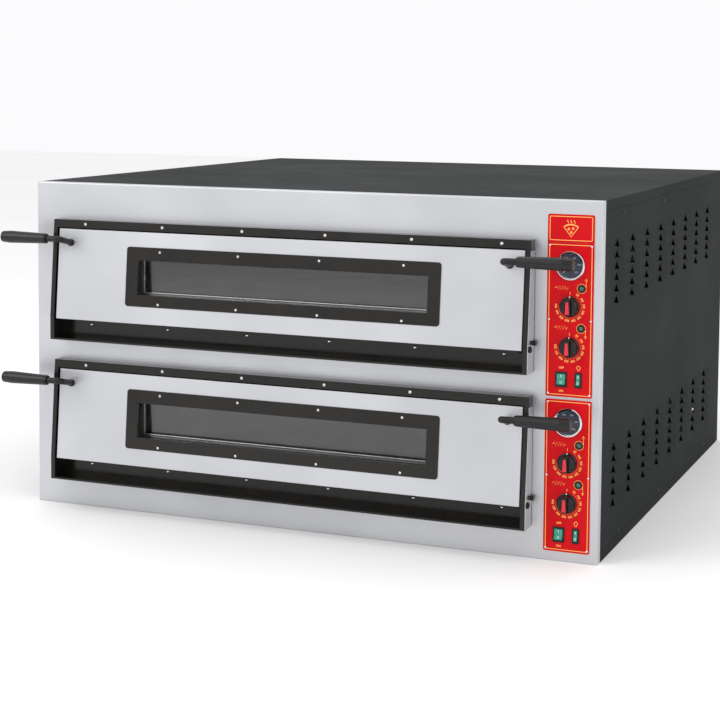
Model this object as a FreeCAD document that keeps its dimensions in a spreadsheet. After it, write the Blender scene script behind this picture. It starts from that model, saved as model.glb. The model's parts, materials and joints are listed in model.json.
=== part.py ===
import FreeCAD, Part
import math
import os

import Sketcher
from FreeCAD import Placement, Rotation, Vector

# Double-deck electric pizza oven for a counter or a stand.
# Row frame: origin at the centre of the underside, +X to the control side, +Y to the back, +Z up.
# Deck frame: X from the middle of the deck's door, Y from the front face of the fascia
# (negative towards the user), Z from the underside of the deck's door surround.

DRIVING_SIZES = (
    # casing
    ("body_width", 1340, "casing, left to right"),
    ("body_depth", 1330, "casing, front to back"),
    ("body_height", 750, "casing, bottom to top"),
    ("gauge", 1.5, "sheet metal thickness"),
    ("fold", 22, "return flange of the fascia and the covers"),
    ("rail", 20, "height of the base tray's rail"),
    ("play", 0.5, "gap between neighbouring sheets"),
    # decks
    ("door_centre", -40, "middle of the doors, from the middle of the casing"),
    ("deck_base", 68, "underside of the lower door surround"),
    ("deck_pitch", 324, "height of one deck"),
    # door surround
    ("surround_width", 1138, "door surround over its cheek plates"),
    ("surround_height", 275, "door surround, bottom to top"),
    ("surround_depth_top", 27, "how far the surround stands out at its top"),
    ("surround_depth_low", 46, "how far the surround stands out at its foot"),
    ("kink", 52, "height where the cheek's front edge turns upright"),
    ("cheek_flange", 10, "front flange of the cheeks"),
    ("lip", 4, "lip in front of the crumb trough"),
    ("band_low", 257, "underside of the band above the door"),
    ("cheek_plate", 1, "thickness of the steel plates outside the cheeks"),
    # baking chamber
    ("mouth_width", 1080, "chamber and its mouth, left to right"),
    ("mouth_low", 80, "baking surface above the surround's underside"),
    ("mouth_high", 220, "chamber ceiling above the surround's underside"),
    ("shell_low", 45, "underside of the chamber shell"),
    ("chamber_depth", 1080, "chamber, front to back"),
    ("stone", 15, "thickness of the hearth stones"),
    ("stone_gap", 3, "joint between two hearth stones"),
    ("element", 8, "diameter of the heating elements"),
    # door
    ("door_width", 1110, "door panel, left to right"),
    ("door_low", 48, "underside of the door panel"),
    ("door_high", 255, "top of the door panel"),
    ("panel_inset", 3, "panel face behind the cheek flanges"),
    ("panel_return", 12, "folded edge of the door panel"),
    ("door_back", 4, "gap from the door pan to the fascia plane"),
    ("plug_width", 1060, "part of the door that enters the mouth"),
    ("plug_low", 88, "underside of the plug"),
    ("plug_high", 208, "top of the plug"),
    ("plug_depth", 12, "how far the plug enters the mouth"),
    ("pan_wall", 2, "wall of the door pan"),
    ("pivot_back", 30, "hinge axis in front of the fascia"),
    ("pivot_height", 50, "hinge axis above the surround's underside"),
    ("pivot_bore", 5.05, "bore radius of the hinge lugs"),
    ("pivot_pin", 5, "radius of the hinge bolts"),
    # window
    ("bezel_width", 750, "window bezel, left to right"),
    ("bezel_low", 87, "underside of the window bezel"),
    ("bezel_high", 221, "top of the window bezel"),
    ("bezel_thick", 2, "thickness of the window bezel"),
    ("window_width", 694, "window opening, left to right"),
    ("window_low", 113, "underside of the window opening"),
    ("window_high", 191, "top of the window opening"),
    ("glass", 4, "thickness of a window pane"),
    # handles
    ("handle_leg", 523, "handle legs from the door's middle"),
    ("handle_foot", 223, "feet of the handle legs above the surround's underside"),
    ("handle_tip", 672, "handle tips from the door's middle"),
    ("handle_height", 235, "handles above the surround's underside"),
    ("handle_reach", 80, "handle rods in front of the fascia"),
    ("rod", 14, "diameter of the handle rods"),
    ("grip_length", 118, "length of a grip"),
    ("grip_small", 23, "grip diameter at its collar"),
    ("grip_large", 28, "grip diameter near its tip"),
    # controls
    ("control_x", 644, "middle of the controls from the door's middle"),
    ("plate_width", 98, "control plates, left to right"),
    ("plate_low", -47, "underside of a control plate"),
    ("plate_high", 271, "top of a control plate"),
    ("header_low", 271.4, "underside of the header plate, upper deck"),
    ("header_high", 329, "top of the header plate"),
    ("plate_corner", 4, "corner radius of the plates"),
    ("dial_height", 224, "thermometer above the surround's underside"),
    ("dial_radius", 30.5, "thermometer bezel"),
    ("knob_radius", 21, "thermostat knob"),
    ("lamp_x", 24, "pilot lamps right of the controls' middle"),
    ("lamp_radius", 8, "pilot lamp bezel"),
    ("rocker_height", 24.5, "rockers, bottom to top"),
    ("power_x", -16, "power rocker from the controls' middle"),
    ("power_width", 17, "power rocker, left to right"),
    ("light_x", 20, "light rocker from the controls' middle"),
    ("light_width", 7, "light rocker, left to right"),
    ("switch_height", -11, "switches above the surround's underside"),
    # side louvres
    ("louvre_length", 62, "length of a louvre hood"),
    ("louvre_height", 18, "height of a louvre"),
    ("louvre_proud", 5.5, "how far a louvre stands out"),
    ("louvre_pitch_y", 141, "louvres, front to back"),
    ("louvre_pitch_z", 23.8, "louvres, one above the other"),
    ("louvre_low_top", 234, "top of the lower louvre field"),
    ("louvre_high_top", 666, "top of the upper louvre field"),
)

THERMOSTAT_HEIGHTS = (140, 56)
PILOT_HEIGHTS = (178, 96)
DECKS = ("lower", "upper")
SIDES = (-1, 1)


class Size:
    """A size with its value and the sheet formula that a property is bound to."""

    def __init__(self, value, text):
        self.value = float(value)
        self.text = text

    def __add__(self, other):
        other = as_size(other)
        return Size(self.value + other.value, f"({self.text} + {other.text})")

    def __sub__(self, other):
        other = as_size(other)
        return Size(self.value - other.value, f"({self.text} - {other.text})")

    def __mul__(self, other):
        other = as_size(other)
        return Size(self.value * other.value, f"({self.text} * {other.text})")

    def __truediv__(self, other):
        other = as_size(other)
        return Size(self.value / other.value, f"({self.text} / {other.text})")

    def __neg__(self):
        return Size(-self.value, f"(0 - {self.text})")

    __radd__ = __add__
    __rmul__ = __mul__

    def __rsub__(self, other):
        return as_size(other) - self


def as_size(value):
    """Return value as a Size, so that plain numbers and sheet sizes mix."""
    if isinstance(value, Size):
        return value
    return Size(value, f"({value:.6g})")


doc = FreeCAD.newDocument("PizzaOven")
sheet = doc.addObject("Spreadsheet::Sheet", "Sizes")
size = {}
for line, (alias, value, meaning) in enumerate(DRIVING_SIZES, start=1):
    sheet.set(f"A{line}", meaning)
    sheet.set(f"B{line}", str(value))
    sheet.setAlias(f"B{line}", alias)
    size[alias] = Size(value, f"Sizes.{alias}")
doc.recompute()

finished = []


# ---------------------------------------------------------------- shared helpers


def bind(obj, prop, value):
    """Bind one property to its sheet formula."""
    obj.setExpression(prop, as_size(value).text)


def bind_base(obj, x, y, z):
    """Bind the position of an object."""
    for axis, value in zip("xyz", (x, y, z)):
        bind(obj, f"Placement.Base.{axis}", value)


def finish(obj, node):
    """Name a finished sub-part and keep it for the export."""
    obj.Label = node
    finished.append(obj)
    return obj


def in_deck(obj, deck):
    """Move a sub-part from its deck frame to its place in the oven."""
    base = size["deck_base"] + deck * size["deck_pitch"]
    bind_base(obj, size["door_centre"], -size["body_depth"] / 2, base)
    return obj


def box(x, y, z):
    """A box between two limits on each axis."""
    item = doc.addObject("Part::Box", "Box")
    for prop, (low, high) in zip(("Length", "Width", "Height"), (x, y, z)):
        bind(item, prop, as_size(high) - low)
    bind_base(item, x[0], y[0], z[0])
    return item


SHOULDER = 0.85
CROWN = 0.4
AXIS_TURNS = {
    "+X": Rotation(Vector(0, 1, 0), 90),
    "-X": Rotation(Vector(0, 1, 0), -90),
    "+Y": Rotation(Vector(1, 0, 0), -90),
    "-Y": Rotation(Vector(1, 0, 0), 90),
}


def turned(obj, axis, at):
    """Point an object's own +Z along a named axis, from a given point."""
    obj.Placement = Placement(Vector(), AXIS_TURNS[axis])
    bind_base(obj, *at)
    return obj


def rod_piece(radius, length, at, axis):
    """A plain cylinder from a point along a named axis."""
    item = doc.addObject("Part::Cylinder", "Cylinder")
    bind(item, "Radius", radius)
    bind(item, "Height", length)
    return turned(item, axis, at)


def cone_piece(radius, tip_radius, length, at, axis):
    """A truncated cone from a point along a named axis."""
    item = doc.addObject("Part::Cone", "Cone")
    bind(item, "Radius1", radius)
    bind(item, "Radius2", tip_radius)
    bind(item, "Height", length)
    return turned(item, axis, at)


def dome_piece(radius, height, at, axis):
    """Half an ellipsoid standing on its flat face, such as a lens."""
    item = doc.addObject("Part::Ellipsoid", "Dome")
    bind(item, "Radius1", height)
    bind(item, "Radius2", radius)
    bind(item, "Radius3", radius)
    item.Angle1 = 0
    item.Angle2 = 90
    return turned(item, axis, at)


def upright_cone(radius, tip_radius, low, high):
    """A truncated cone about its own Z axis, between two heights."""
    item = doc.addObject("Part::Cone", "Cone")
    bind(item, "Radius1", radius)
    bind(item, "Radius2", tip_radius)
    bind(item, "Height", as_size(high) - low)
    bind(item, "Placement.Base.z", low)
    return item


def screw_head(radius, rise, at, axis):
    """A button head: a steep rim under a shallow crown with a flat top."""
    shoulder = radius * SHOULDER
    rim = upright_cone(radius, shoulder, 0, rise / 2)
    crown = upright_cone(shoulder, radius * CROWN, rise / 2, rise)
    return turned(joined([rim, crown]), axis, at)


def joined(items):
    """One solid made of touching pieces."""
    item = doc.addObject("Part::MultiFuse", "Joined")
    item.Shapes = items
    return item


def grouped(items):
    """Separate solids kept in one node."""
    item = doc.addObject("Part::Compound", "Group")
    item.Links = items
    return item


def cut_from(base, tools):
    """The base without the tools, which don't overlap each other."""
    item = doc.addObject("Part::Cut", "Cut")
    item.Base = base
    item.Tool = tools[0] if len(tools) == 1 else grouped(tools)
    return item


def new_body(node):
    """A PartDesign body for one sub-part."""
    return finish(doc.addObject("PartDesign::Body", "Body"), node)


def sketch_on(body, role, back=0):
    """A sketch on one of the body's origin planes, moved back from it by a distance."""
    sketch = body.newObject("Sketcher::SketchObject", "Sketch")
    plane = next(item for item in body.Origin.OriginFeatures if item.Role == role)
    sketch.AttachmentSupport = [(plane, "")]
    sketch.MapMode = "FlatFace"
    bind(sketch, "AttachmentOffset.Base.z", -as_size(back))
    return sketch


def outline(sketch, corners):
    """A closed outline through corners, each corner bound to the sheet on both axes."""
    points = [Vector(as_size(u).value, as_size(v).value, 0) for u, v in corners]
    first = len(sketch.Geometry)
    count = len(points)
    for index in range(count):
        sketch.addGeometry(Part.LineSegment(points[index], points[(index + 1) % count]), False)
    for index in range(count):
        following = first + (index + 1) % count
        sketch.addConstraint(Sketcher.Constraint("Coincident", first + index, 2, following, 1))
    for index, (u, v) in enumerate(corners):
        for kind, value in (("DistanceX", as_size(u)), ("DistanceY", as_size(v))):
            rule = Sketcher.Constraint(kind, -1, 1, first + index, 1, value.value)
            number = sketch.addConstraint(rule)
            sketch.setExpression(f"Constraints[{number}]", value.text)


def rectangle(sketch, u, v):
    """A rectangle between two limits on each sketch axis."""
    outline(sketch, ((u[0], v[0]), (u[1], v[0]), (u[1], v[1]), (u[0], v[1])))


def circle(sketch, u, v, radius):
    """A circle with its centre and radius bound to the sheet."""
    centre = Vector(as_size(u).value, as_size(v).value, 0)
    number = sketch.addGeometry(Part.Circle(centre, Vector(0, 0, 1), as_size(radius).value), False)
    for kind, value in (("DistanceX", u), ("DistanceY", v)):
        rule = Sketcher.Constraint(kind, -1, 1, number, 3, as_size(value).value)
        index = sketch.addConstraint(rule)
        sketch.setExpression(f"Constraints[{index}]", as_size(value).text)
    index = sketch.addConstraint(Sketcher.Constraint("Radius", number, as_size(radius).value))
    sketch.setExpression(f"Constraints[{index}]", as_size(radius).text)


def pad(body, sketch, length, backwards=False, midplane=False):
    """Extrude a sketch. On the XZ plane a pad grows to the front, or backwards to the back."""
    item = body.newObject("PartDesign::Pad", "Pad")
    item.Profile = sketch
    bind(item, "Length", length)
    item.Reversed = backwards
    item.Midplane = midplane
    return item


def pocket(body, sketch, length=None, midplane=False, to_front=False):
    """Cut a sketch into the body. On the XZ plane a pocket runs to the back."""
    item = body.newObject("PartDesign::Pocket", "Pocket")
    item.Profile = sketch
    if length is None:
        item.Type = "ThroughAll"
    else:
        bind(item, "Length", length)
    item.Midplane = midplane
    item.Reversed = to_front
    return item


def soften(body, base, radius, wanted):
    """Round the edges of a feature that the test picks."""
    doc.recompute()
    edges = [f"Edge{i}" for i, edge in enumerate(base.Shape.Edges, start=1) if wanted(edge)]
    item = body.newObject("PartDesign::Fillet", "Fillet")
    item.Base = (base, edges)
    bind(item, "Radius", radius)
    return item


def runs_along_y(edge):
    """True for a straight edge that runs front to back."""
    span = edge.BoundBox
    return span.YLength > 0.1 and span.XLength < 1e-6 and span.ZLength < 1e-6


def runs_along_y_at(levels):
    """A test for edges that run front to back at one of the given heights."""
    return lambda edge: runs_along_y(edge) and any(abs(edge.BoundBox.ZMin - z) < 0.01 for z in levels)


def lies_at_y(y):
    """A test for edges that lie in one upright plane."""
    return lambda edge: abs(edge.BoundBox.YMin - y) < 1e-6 and abs(edge.BoundBox.YMax - y) < 1e-6


def revolved(body, profile):
    """Turn a profile, given as (radius, height) corners, about the body's Z axis."""
    sketch = sketch_on(body, "XZ_Plane")
    outline(sketch, profile)
    item = body.newObject("PartDesign::Revolution", "Revolution")
    item.Profile = sketch
    item.ReferenceAxis = (sketch, ["V_Axis"])
    item.Angle = 360
    return item


# ---------------------------------------------------------------- casing

HALF_WIDTH = size["body_width"] / 2
HALF_DEPTH = size["body_depth"] / 2
FRONT = -HALF_DEPTH
GAUGE = size["gauge"]
MOUTH_CLEARANCE = 1
SWITCHES = (("power", size["power_x"], size["power_width"]), ("light", size["light_x"], size["light_width"]))
SWITCH_FRAME = 3.7
SWITCH_BODY_PLAY = 0.4
DIAL_BODY_RADIUS = 24
DIAL_HOLE_RADIUS = 24.4
SPINDLE_HOLE_RADIUS = 5
PILOT_BODY_RADIUS = 5.5
PILOT_HOLE_RADIUS = 5.8
FASCIA_ROUND = 2.5
GLAND_X = size["door_centre"] + size["control_x"]
GLAND_HEIGHT = 80
GLAND_RADIUS = 12
COMPARTMENT_GAP = 40
FLOOR_ELEMENT_HEIGHT = 56
CEILING_ELEMENT_HEIGHT = 208
ELEMENT_IN_Y = 1030
ELEMENT_OUT_Y = 1058
ELEMENT_ENDS = tuple((y, z) for y in (ELEMENT_IN_Y, ELEMENT_OUT_Y)
                     for z in (FLOOR_ELEMENT_HEIGHT, CEILING_ELEMENT_HEIGHT))
DIVIDER_DROP = 43
WALL_PLAY = 2


def control_holes(sketch, middle, base):
    """The holes that the controls of one deck need, in a sketch on the XZ plane."""
    circle(sketch, middle, base + size["dial_height"], DIAL_HOLE_RADIUS)
    for height in THERMOSTAT_HEIGHTS:
        circle(sketch, middle, base + height, SPINDLE_HOLE_RADIUS)
    for height in PILOT_HEIGHTS:
        circle(sketch, middle + size["lamp_x"], base + height, PILOT_HOLE_RADIUS)
    half_height = size["rocker_height"] / 2 + SWITCH_FRAME - 1 + SWITCH_BODY_PLAY
    for _, offset, width in SWITCHES:
        half_width = width / 2 + SWITCH_FRAME - 1 + SWITCH_BODY_PLAY
        across = (middle + offset - half_width, middle + offset + half_width)
        level = base + size["switch_height"]
        rectangle(sketch, across, (level - half_height, level + half_height))


def front_fascia():
    """One folded stainless sheet with the two chamber mouths and the control holes."""
    body = new_body("front_fascia")
    plate = sketch_on(body, "XZ_Plane")
    rectangle(plate, (-HALF_WIDTH, HALF_WIDTH), (0, size["body_height"]))
    block = pad(body, plate, size["fold"], backwards=True)
    soften(body, block, FASCIA_ROUND, lies_at_y(0))
    hollow = sketch_on(body, "XZ_Plane", back=GAUGE)
    rectangle(hollow, (-HALF_WIDTH + GAUGE, HALF_WIDTH - GAUGE), (GAUGE, size["body_height"] - GAUGE))
    pocket(body, hollow)
    openings = sketch_on(body, "XZ_Plane")
    half_mouth = size["mouth_width"] / 2 + MOUTH_CLEARANCE
    for deck in range(len(DECKS)):
        base = size["deck_base"] + deck * size["deck_pitch"]
        across = (size["door_centre"] - half_mouth, size["door_centre"] + half_mouth)
        rectangle(openings, across, (base + size["mouth_low"] - 1, base + size["mouth_high"] + 1))
        control_holes(openings, size["door_centre"] + size["control_x"], base)
    body.Tip = pocket(body, openings)
    bind_base(body, 0, FRONT, 0)


def folded_tray(node, x, y, z, up, gauge):
    """A sheet with its edges folded to one side, as a box hollowed from the open side."""
    block = box(x, y, z)
    level = (z[0] + gauge, z[1] + 1) if up else (z[0] - 1, z[1] - gauge)
    hollow = box((x[0] + gauge, x[1] - gauge), (y[0] + gauge, y[1] - gauge), level)
    return finish(cut_from(block, [hollow]), node)


def casing_covers():
    """Base tray, top cover and the plain covers."""
    behind_fascia = (FRONT + size["fold"] + size["play"], HALF_DEPTH)
    full_width = (-HALF_WIDTH, HALF_WIDTH)
    folded_tray("base_tray", full_width, behind_fascia, (0, size["rail"]), True, GAUGE)
    top = (size["body_height"] - size["fold"], size["body_height"])
    folded_tray("top_cover", full_width, behind_fascia, top, False, GAUGE)
    between = (size["rail"] + size["play"], size["body_height"] - size["fold"] - size["play"])
    side_run = (FRONT + size["fold"] + size["play"], HALF_DEPTH - GAUGE - size["play"])
    left = box((-HALF_WIDTH, -HALF_WIDTH + GAUGE), side_run, between)
    finish(left, "left_side_cover")
    rear = box(full_width, (HALF_DEPTH - GAUGE, HALF_DEPTH), between)
    gland = rod_piece(GLAND_RADIUS, 10, (GLAND_X, HALF_DEPTH - 5, GLAND_HEIGHT), "+Y")
    finish(cut_from(rear, [gland]), "rear_cover")
    return side_run, between


LOUVRE_COLUMNS = 8
LOUVRE_ROWS = 6
LOUVRE_FIRST_Y = 122
LOUVRE_WALL = 1.0
LOUVRE_LEAD = 20


def louvre_hood():
    """One pressed hood: a wedge that slopes out to its foot, open towards the front."""
    length = size["louvre_length"]
    height = size["louvre_height"]
    proud = size["louvre_proud"]
    body = doc.addObject("PartDesign::Body", "Louvre")
    side = sketch_on(body, "XZ_Plane")
    outline(side, ((0, 0), (proud, 0), (proud, 2), (0, height)))
    pad(body, side, length, backwards=True)
    inside = sketch_on(body, "XZ_Plane")
    wall = LOUVRE_WALL
    apex = height - wall * 3
    outline(inside, ((-1, wall), (proud - wall, wall), (proud - wall, 2), (0, apex), (-1, apex)))
    body.Tip = pocket(body, inside, length - wall)
    return body


def right_side_cover(side_run, between):
    """The cover beside the controls, with two fields of louvres."""
    wall = box((HALF_WIDTH - GAUGE, HALF_WIDTH), side_run, between)
    doc.recompute()
    hood = louvre_hood()
    doc.recompute()
    height = size["louvre_height"].value
    length = size["louvre_length"].value
    slot_outline = Part.makePolygon([
        Vector(0, -LOUVRE_LEAD, LOUVRE_WALL),
        Vector(0, length - LOUVRE_WALL, LOUVRE_WALL),
        Vector(0, length - LOUVRE_WALL, height - 3 * LOUVRE_WALL),
        Vector(0, 0, height - 3 * LOUVRE_WALL),
        Vector(0, -LOUVRE_LEAD, LOUVRE_WALL),
    ])
    slot = Part.Face(slot_outline).extrude(Vector(-4, 0, 0))
    hoods = []
    slots = []
    for top in ("louvre_low_top", "louvre_high_top"):
        low = size[top].value - height
        for column in range(LOUVRE_COLUMNS):
            y = LOUVRE_FIRST_Y + column * size["louvre_pitch_y"].value - size["body_depth"].value / 2
            for row in range(LOUVRE_ROWS):
                z = low - row * size["louvre_pitch_z"].value
                spot = Vector(size["body_width"].value / 2, y, z)
                hoods.append(hood.Shape.translated(spot))
                slots.append(slot.translated(spot + Vector(1, 0, 0)))
    pressed = wall.Shape.cut(Part.makeCompound(slots)).fuse(hoods)
    doc.removeObject(wall.Name)
    hood.removeObjectsFromDocument()
    doc.removeObject(hood.Name)
    cover = doc.addObject("Part::Feature", "RightCover")
    cover.Shape = pressed
    finish(cover, "right_side_cover")


def inner_sheets():
    """The sheet between the decks and the wall beside the control compartment."""
    behind = (FRONT + GAUGE + size["play"], HALF_DEPTH - GAUGE - WALL_PLAY)
    wall_x = size["door_centre"] + size["mouth_width"] / 2 + COMPARTMENT_GAP
    level = size["deck_base"] + size["deck_pitch"] - DIVIDER_DROP
    divider = box((-HALF_WIDTH + 3, wall_x - 1), behind, (level, level + GAUGE))
    finish(divider, "deck_divider")
    upright = (size["rail"] + WALL_PLAY, size["body_height"] - size["fold"] - WALL_PLAY)
    wall = box((wall_x, wall_x + GAUGE), behind, upright)
    tools = []
    for deck in range(len(DECKS)):
        base = size["deck_base"] + deck * size["deck_pitch"]
        for y, height in ELEMENT_ENDS:
            at = (wall_x - 2, FRONT + y, base + height)
            tools.append(rod_piece(size["element"] / 2 + 1, 10, at, "+X"))
    finish(cut_from(wall, tools), "compartment_wall")


# ---------------------------------------------------------------- baking chambers

ELEMENT_LEGS = (475, 285, 95, -95, -285, -475)
SUPPORT_BARS = (-530, 0, 530)
LAMP_Y = 420
LAMP_HEIGHT = 150
LAMP_RADIUS = 28


def chamber_shell(deck, name):
    """The welded steel box that the pizzas bake in, with the bars that carry the stones."""
    half = size["mouth_width"] / 2
    back = GAUGE + size["chamber_depth"]
    level = (size["shell_low"], size["mouth_high"] + GAUGE)
    outer = box((-half - GAUGE, half + GAUGE), (GAUGE, back + GAUGE), level)
    inner = box((-half, half), (0, back), (size["shell_low"] + GAUGE, size["mouth_high"]))
    tools = [inner]
    for y, height in ELEMENT_ENDS:
        tools.append(rod_piece(size["element"] / 2 + 0.5, 4, (half - 1, y, height), "+X"))
    tools.append(rod_piece(LAMP_RADIUS - 4, 4, (half - 1, LAMP_Y, LAMP_HEIGHT), "+X"))
    hollow = cut_from(outer, [joined(tools)])
    bars = []
    for x in SUPPORT_BARS:
        reach, half_bar = ((70, 1040), 12) if x == 0 else ((6, 1010), 3)
        level = (size["shell_low"] + GAUGE, size["mouth_low"] - size["stone"])
        bars.append(box((x - half_bar, x + half_bar), reach, level))
    in_deck(finish(joined([hollow] + bars), f"chamber_shell_{name}"), deck)


def insulation(deck, name):
    """The mineral wool jacket round one chamber."""
    half = size["mouth_width"] / 2
    outer = box((-half - 60, half + COMPARTMENT_GAP - 1), (3, size["chamber_depth"] + 100), (-40, 280))
    gap = 0.3
    inner = box((-half - GAUGE - gap, half + GAUGE + gap), (0, size["chamber_depth"] + 2 * GAUGE + gap),
                (size["shell_low"] - gap, size["mouth_high"] + GAUGE + gap))
    tools = [inner]
    for y, height in ELEMENT_ENDS:
        tools.append(rod_piece(size["element"] / 2 + 0.5, COMPARTMENT_GAP, (half, y, height), "+X"))
    tools.append(rod_piece(LAMP_RADIUS + 0.5, COMPARTMENT_GAP, (half, LAMP_Y, LAMP_HEIGHT), "+X"))
    in_deck(finish(cut_from(outer, [joined(tools)]), f"insulation_{name}"), deck)


def hearth_stones(deck, name):
    """Four refractory slabs that make one baking surface."""
    half = size["mouth_width"] / 2
    top = size["mouth_low"]
    slabs = []
    length = (size["chamber_depth"] - 3 * size["stone_gap"]) / 2
    for x in ((-half + 2, -size["stone_gap"] / 2), (size["stone_gap"] / 2, half - 2)):
        for row in range(2):
            front = GAUGE + size["stone_gap"] + row * (length + size["stone_gap"])
            slabs.append(box(x, (front, front + length), (top - size["stone"], top)))
    in_deck(finish(grouped(slabs), f"hearth_stones_{name}"), deck)


def serpentine(height):
    """A sheathed element: six legs joined by round bends, with both ends out on the right."""
    radius = (ELEMENT_LEGS[0] - ELEMENT_LEGS[1]) / 2
    end_x = size["mouth_width"].value / 2 + COMPARTMENT_GAP + 20
    front = 50 + radius
    rear = 1005 - radius
    corner = 12
    edges = []

    def run(start, end):
        edges.append(Part.LineSegment(Vector(*start, height), Vector(*end, height)).toShape())

    def bend(start, middle, end):
        arc = Part.Arc(Vector(*start, height), Vector(*middle, height), Vector(*end, height))
        edges.append(arc.toShape())

    def quarter(centre, start_angle, end_angle):
        ring = [(centre[0] + corner * math.cos(math.radians(turn)),
                 centre[1] + corner * math.sin(math.radians(turn)))
                for turn in (start_angle, (start_angle + end_angle) / 2, end_angle)]
        bend(*ring)

    first, last = ELEMENT_LEGS[0], ELEMENT_LEGS[-1]
    run((end_x, ELEMENT_IN_Y), (first + corner, ELEMENT_IN_Y))
    quarter((first + corner, ELEMENT_IN_Y - corner), 90, 180)
    run((first, ELEMENT_IN_Y - corner), (first, front))
    for index in range(len(ELEMENT_LEGS) - 1):
        here, there = ELEMENT_LEGS[index], ELEMENT_LEGS[index + 1]
        at_front = index % 2 == 0
        y, tip = (front, front - radius) if at_front else (rear, rear + radius)
        bend((here, y), ((here + there) / 2, tip), (there, y))
        if index < len(ELEMENT_LEGS) - 2:
            run((there, y), (there, rear if at_front else front))
    run((last, front), (last, ELEMENT_OUT_Y - corner))
    quarter((last + corner, ELEMENT_OUT_Y - corner), 180, 90)
    run((last + corner, ELEMENT_OUT_Y), (end_x, ELEMENT_OUT_Y))
    path = Part.Wire(edges)
    ring = Part.Circle(Vector(end_x, ELEMENT_IN_Y, height), Vector(1, 0, 0), size["element"].value / 2)
    return path.makePipeShell([Part.Wire(ring.toShape())], True, True)


def heating_elements(deck, name):
    """The element under the stones and the one below the ceiling."""
    item = doc.addObject("Part::Feature", "Elements")
    item.Shape = Part.makeCompound([serpentine(FLOOR_ELEMENT_HEIGHT), serpentine(CEILING_ELEMENT_HEIGHT)])
    in_deck(finish(item, f"heating_elements_{name}"), deck)


def chamber_lamps():
    """One oven lamp per deck in the right-hand chamber wall: a holder and its glass dome."""
    pieces = []
    wall = size["door_centre"] + size["mouth_width"] / 2
    for deck in range(len(DECKS)):
        base = size["deck_base"] + deck * size["deck_pitch"]
        y = FRONT + LAMP_Y
        pieces.append(rod_piece(LAMP_RADIUS, 30, (wall + GAUGE, y, base + LAMP_HEIGHT), "+X"))
        neck = rod_piece(LAMP_RADIUS - 4.5, 3, (wall - 1.5, y, base + LAMP_HEIGHT), "+X")
        dome = dome_piece(LAMP_RADIUS - 2, 14, (wall - 1.5, y, base + LAMP_HEIGHT), "-X")
        pieces.append(joined([neck, dome]))
    finish(grouped(pieces), "chamber_lamps")


# ---------------------------------------------------------------- door surrounds

FACE_LEAN = size["surround_depth_low"] - size["surround_depth_top"]
FACE_SLOPE = FACE_LEAN / (size["surround_height"] - size["kink"])
FACE_ANGLE = math.degrees(math.atan(FACE_SLOPE.value))
SCREW_PITCH = 198
SCREW_ROW_X = 10
SCREW_RADIUS = 3.8
SCREW_RISE = 2.4
SCREWS_PER_ROW = 6
LOW_SCREWS = 33
BAND_SCREWS = 266
PLATE_OFF_FASCIA = 3
PLATE_DROP = 22
BOLT_HEAD = 7
BOLT_SOCKET = 4
STOP_OUT = 9
STOP_HEIGHT = 61
STOP_RADIUS = 5
STOP_LENGTH = 7


def cheek_outline(inset):
    """Side view of the surround, shrunk by an inset, as (back to front, height) corners."""
    low, top = size["surround_depth_low"], size["surround_depth_top"]
    return (
        (-as_size(inset), as_size(inset)),
        (-low + inset, as_size(inset)),
        (-low + inset, size["kink"]),
        (-top + inset, size["surround_height"] - inset),
        (-as_size(inset), size["surround_height"] - inset),
    )


def door_surround(deck, name):
    """The black enamelled box round the door: back plate, hood, cheeks, trough and lip."""
    body = new_body(f"door_surround_{name}")
    width = size["surround_width"] - 2 * size["cheek_plate"]
    side = sketch_on(body, "YZ_Plane")
    outline(side, cheek_outline(0))
    pad(body, side, width, midplane=True)
    inside = sketch_on(body, "YZ_Plane")
    outline(inside, cheek_outline(GAUGE))
    pocket(body, inside, width - 2 * GAUGE, midplane=True)
    doorway = sketch_on(body, "XZ_Plane", back=-size["surround_depth_low"] - 1)
    half = width / 2 - size["cheek_flange"]
    rectangle(doorway, (-half, half), (size["lip"], size["band_low"]))
    pocket(body, doorway, size["surround_depth_low"] - 5)
    mouth = sketch_on(body, "XZ_Plane", back=-GAUGE - 1)
    half = size["mouth_width"] / 2
    rectangle(mouth, (-half, half), (size["mouth_low"], size["mouth_high"]))
    pocket(body, mouth)
    pivots = sketch_on(body, "YZ_Plane")
    circle(pivots, -size["pivot_back"], size["pivot_height"], size["pivot_bore"])
    body.Tip = pocket(body, pivots, width + 10, midplane=True)
    in_deck(body, deck)


def plate_outline():
    """Side view of a cheek plate, clear of the fascia and lower than the surround's top."""
    low = size["surround_depth_low"]
    top = size["surround_height"] - PLATE_DROP
    return (
        (-PLATE_OFF_FASCIA, 0),
        (-low, 0),
        (-low, size["kink"]),
        (-size["surround_depth_top"] - FACE_SLOPE * PLATE_DROP, top),
        (-PLATE_OFF_FASCIA, top),
    )


def cheek_plates():
    """Stainless plates outside the cheeks, one pair per deck."""
    plates = []
    for deck in range(len(DECKS)):
        for side in SIDES:
            body = doc.addObject("PartDesign::Body", "CheekPlate")
            profile = sketch_on(body, "YZ_Plane")
            outline(profile, plate_outline())
            circle(profile, -size["pivot_back"], size["pivot_height"], size["pivot_bore"])
            body.Tip = pad(body, profile, size["cheek_plate"])
            outer = size["surround_width"] / 2
            edge = outer - size["cheek_plate"] if side > 0 else -outer
            base = size["deck_base"] + deck * size["deck_pitch"]
            bind_base(body, size["door_centre"] + edge, FRONT, base)
            plates.append(body)
    finish(grouped(plates), "cheek_plates")


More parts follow.
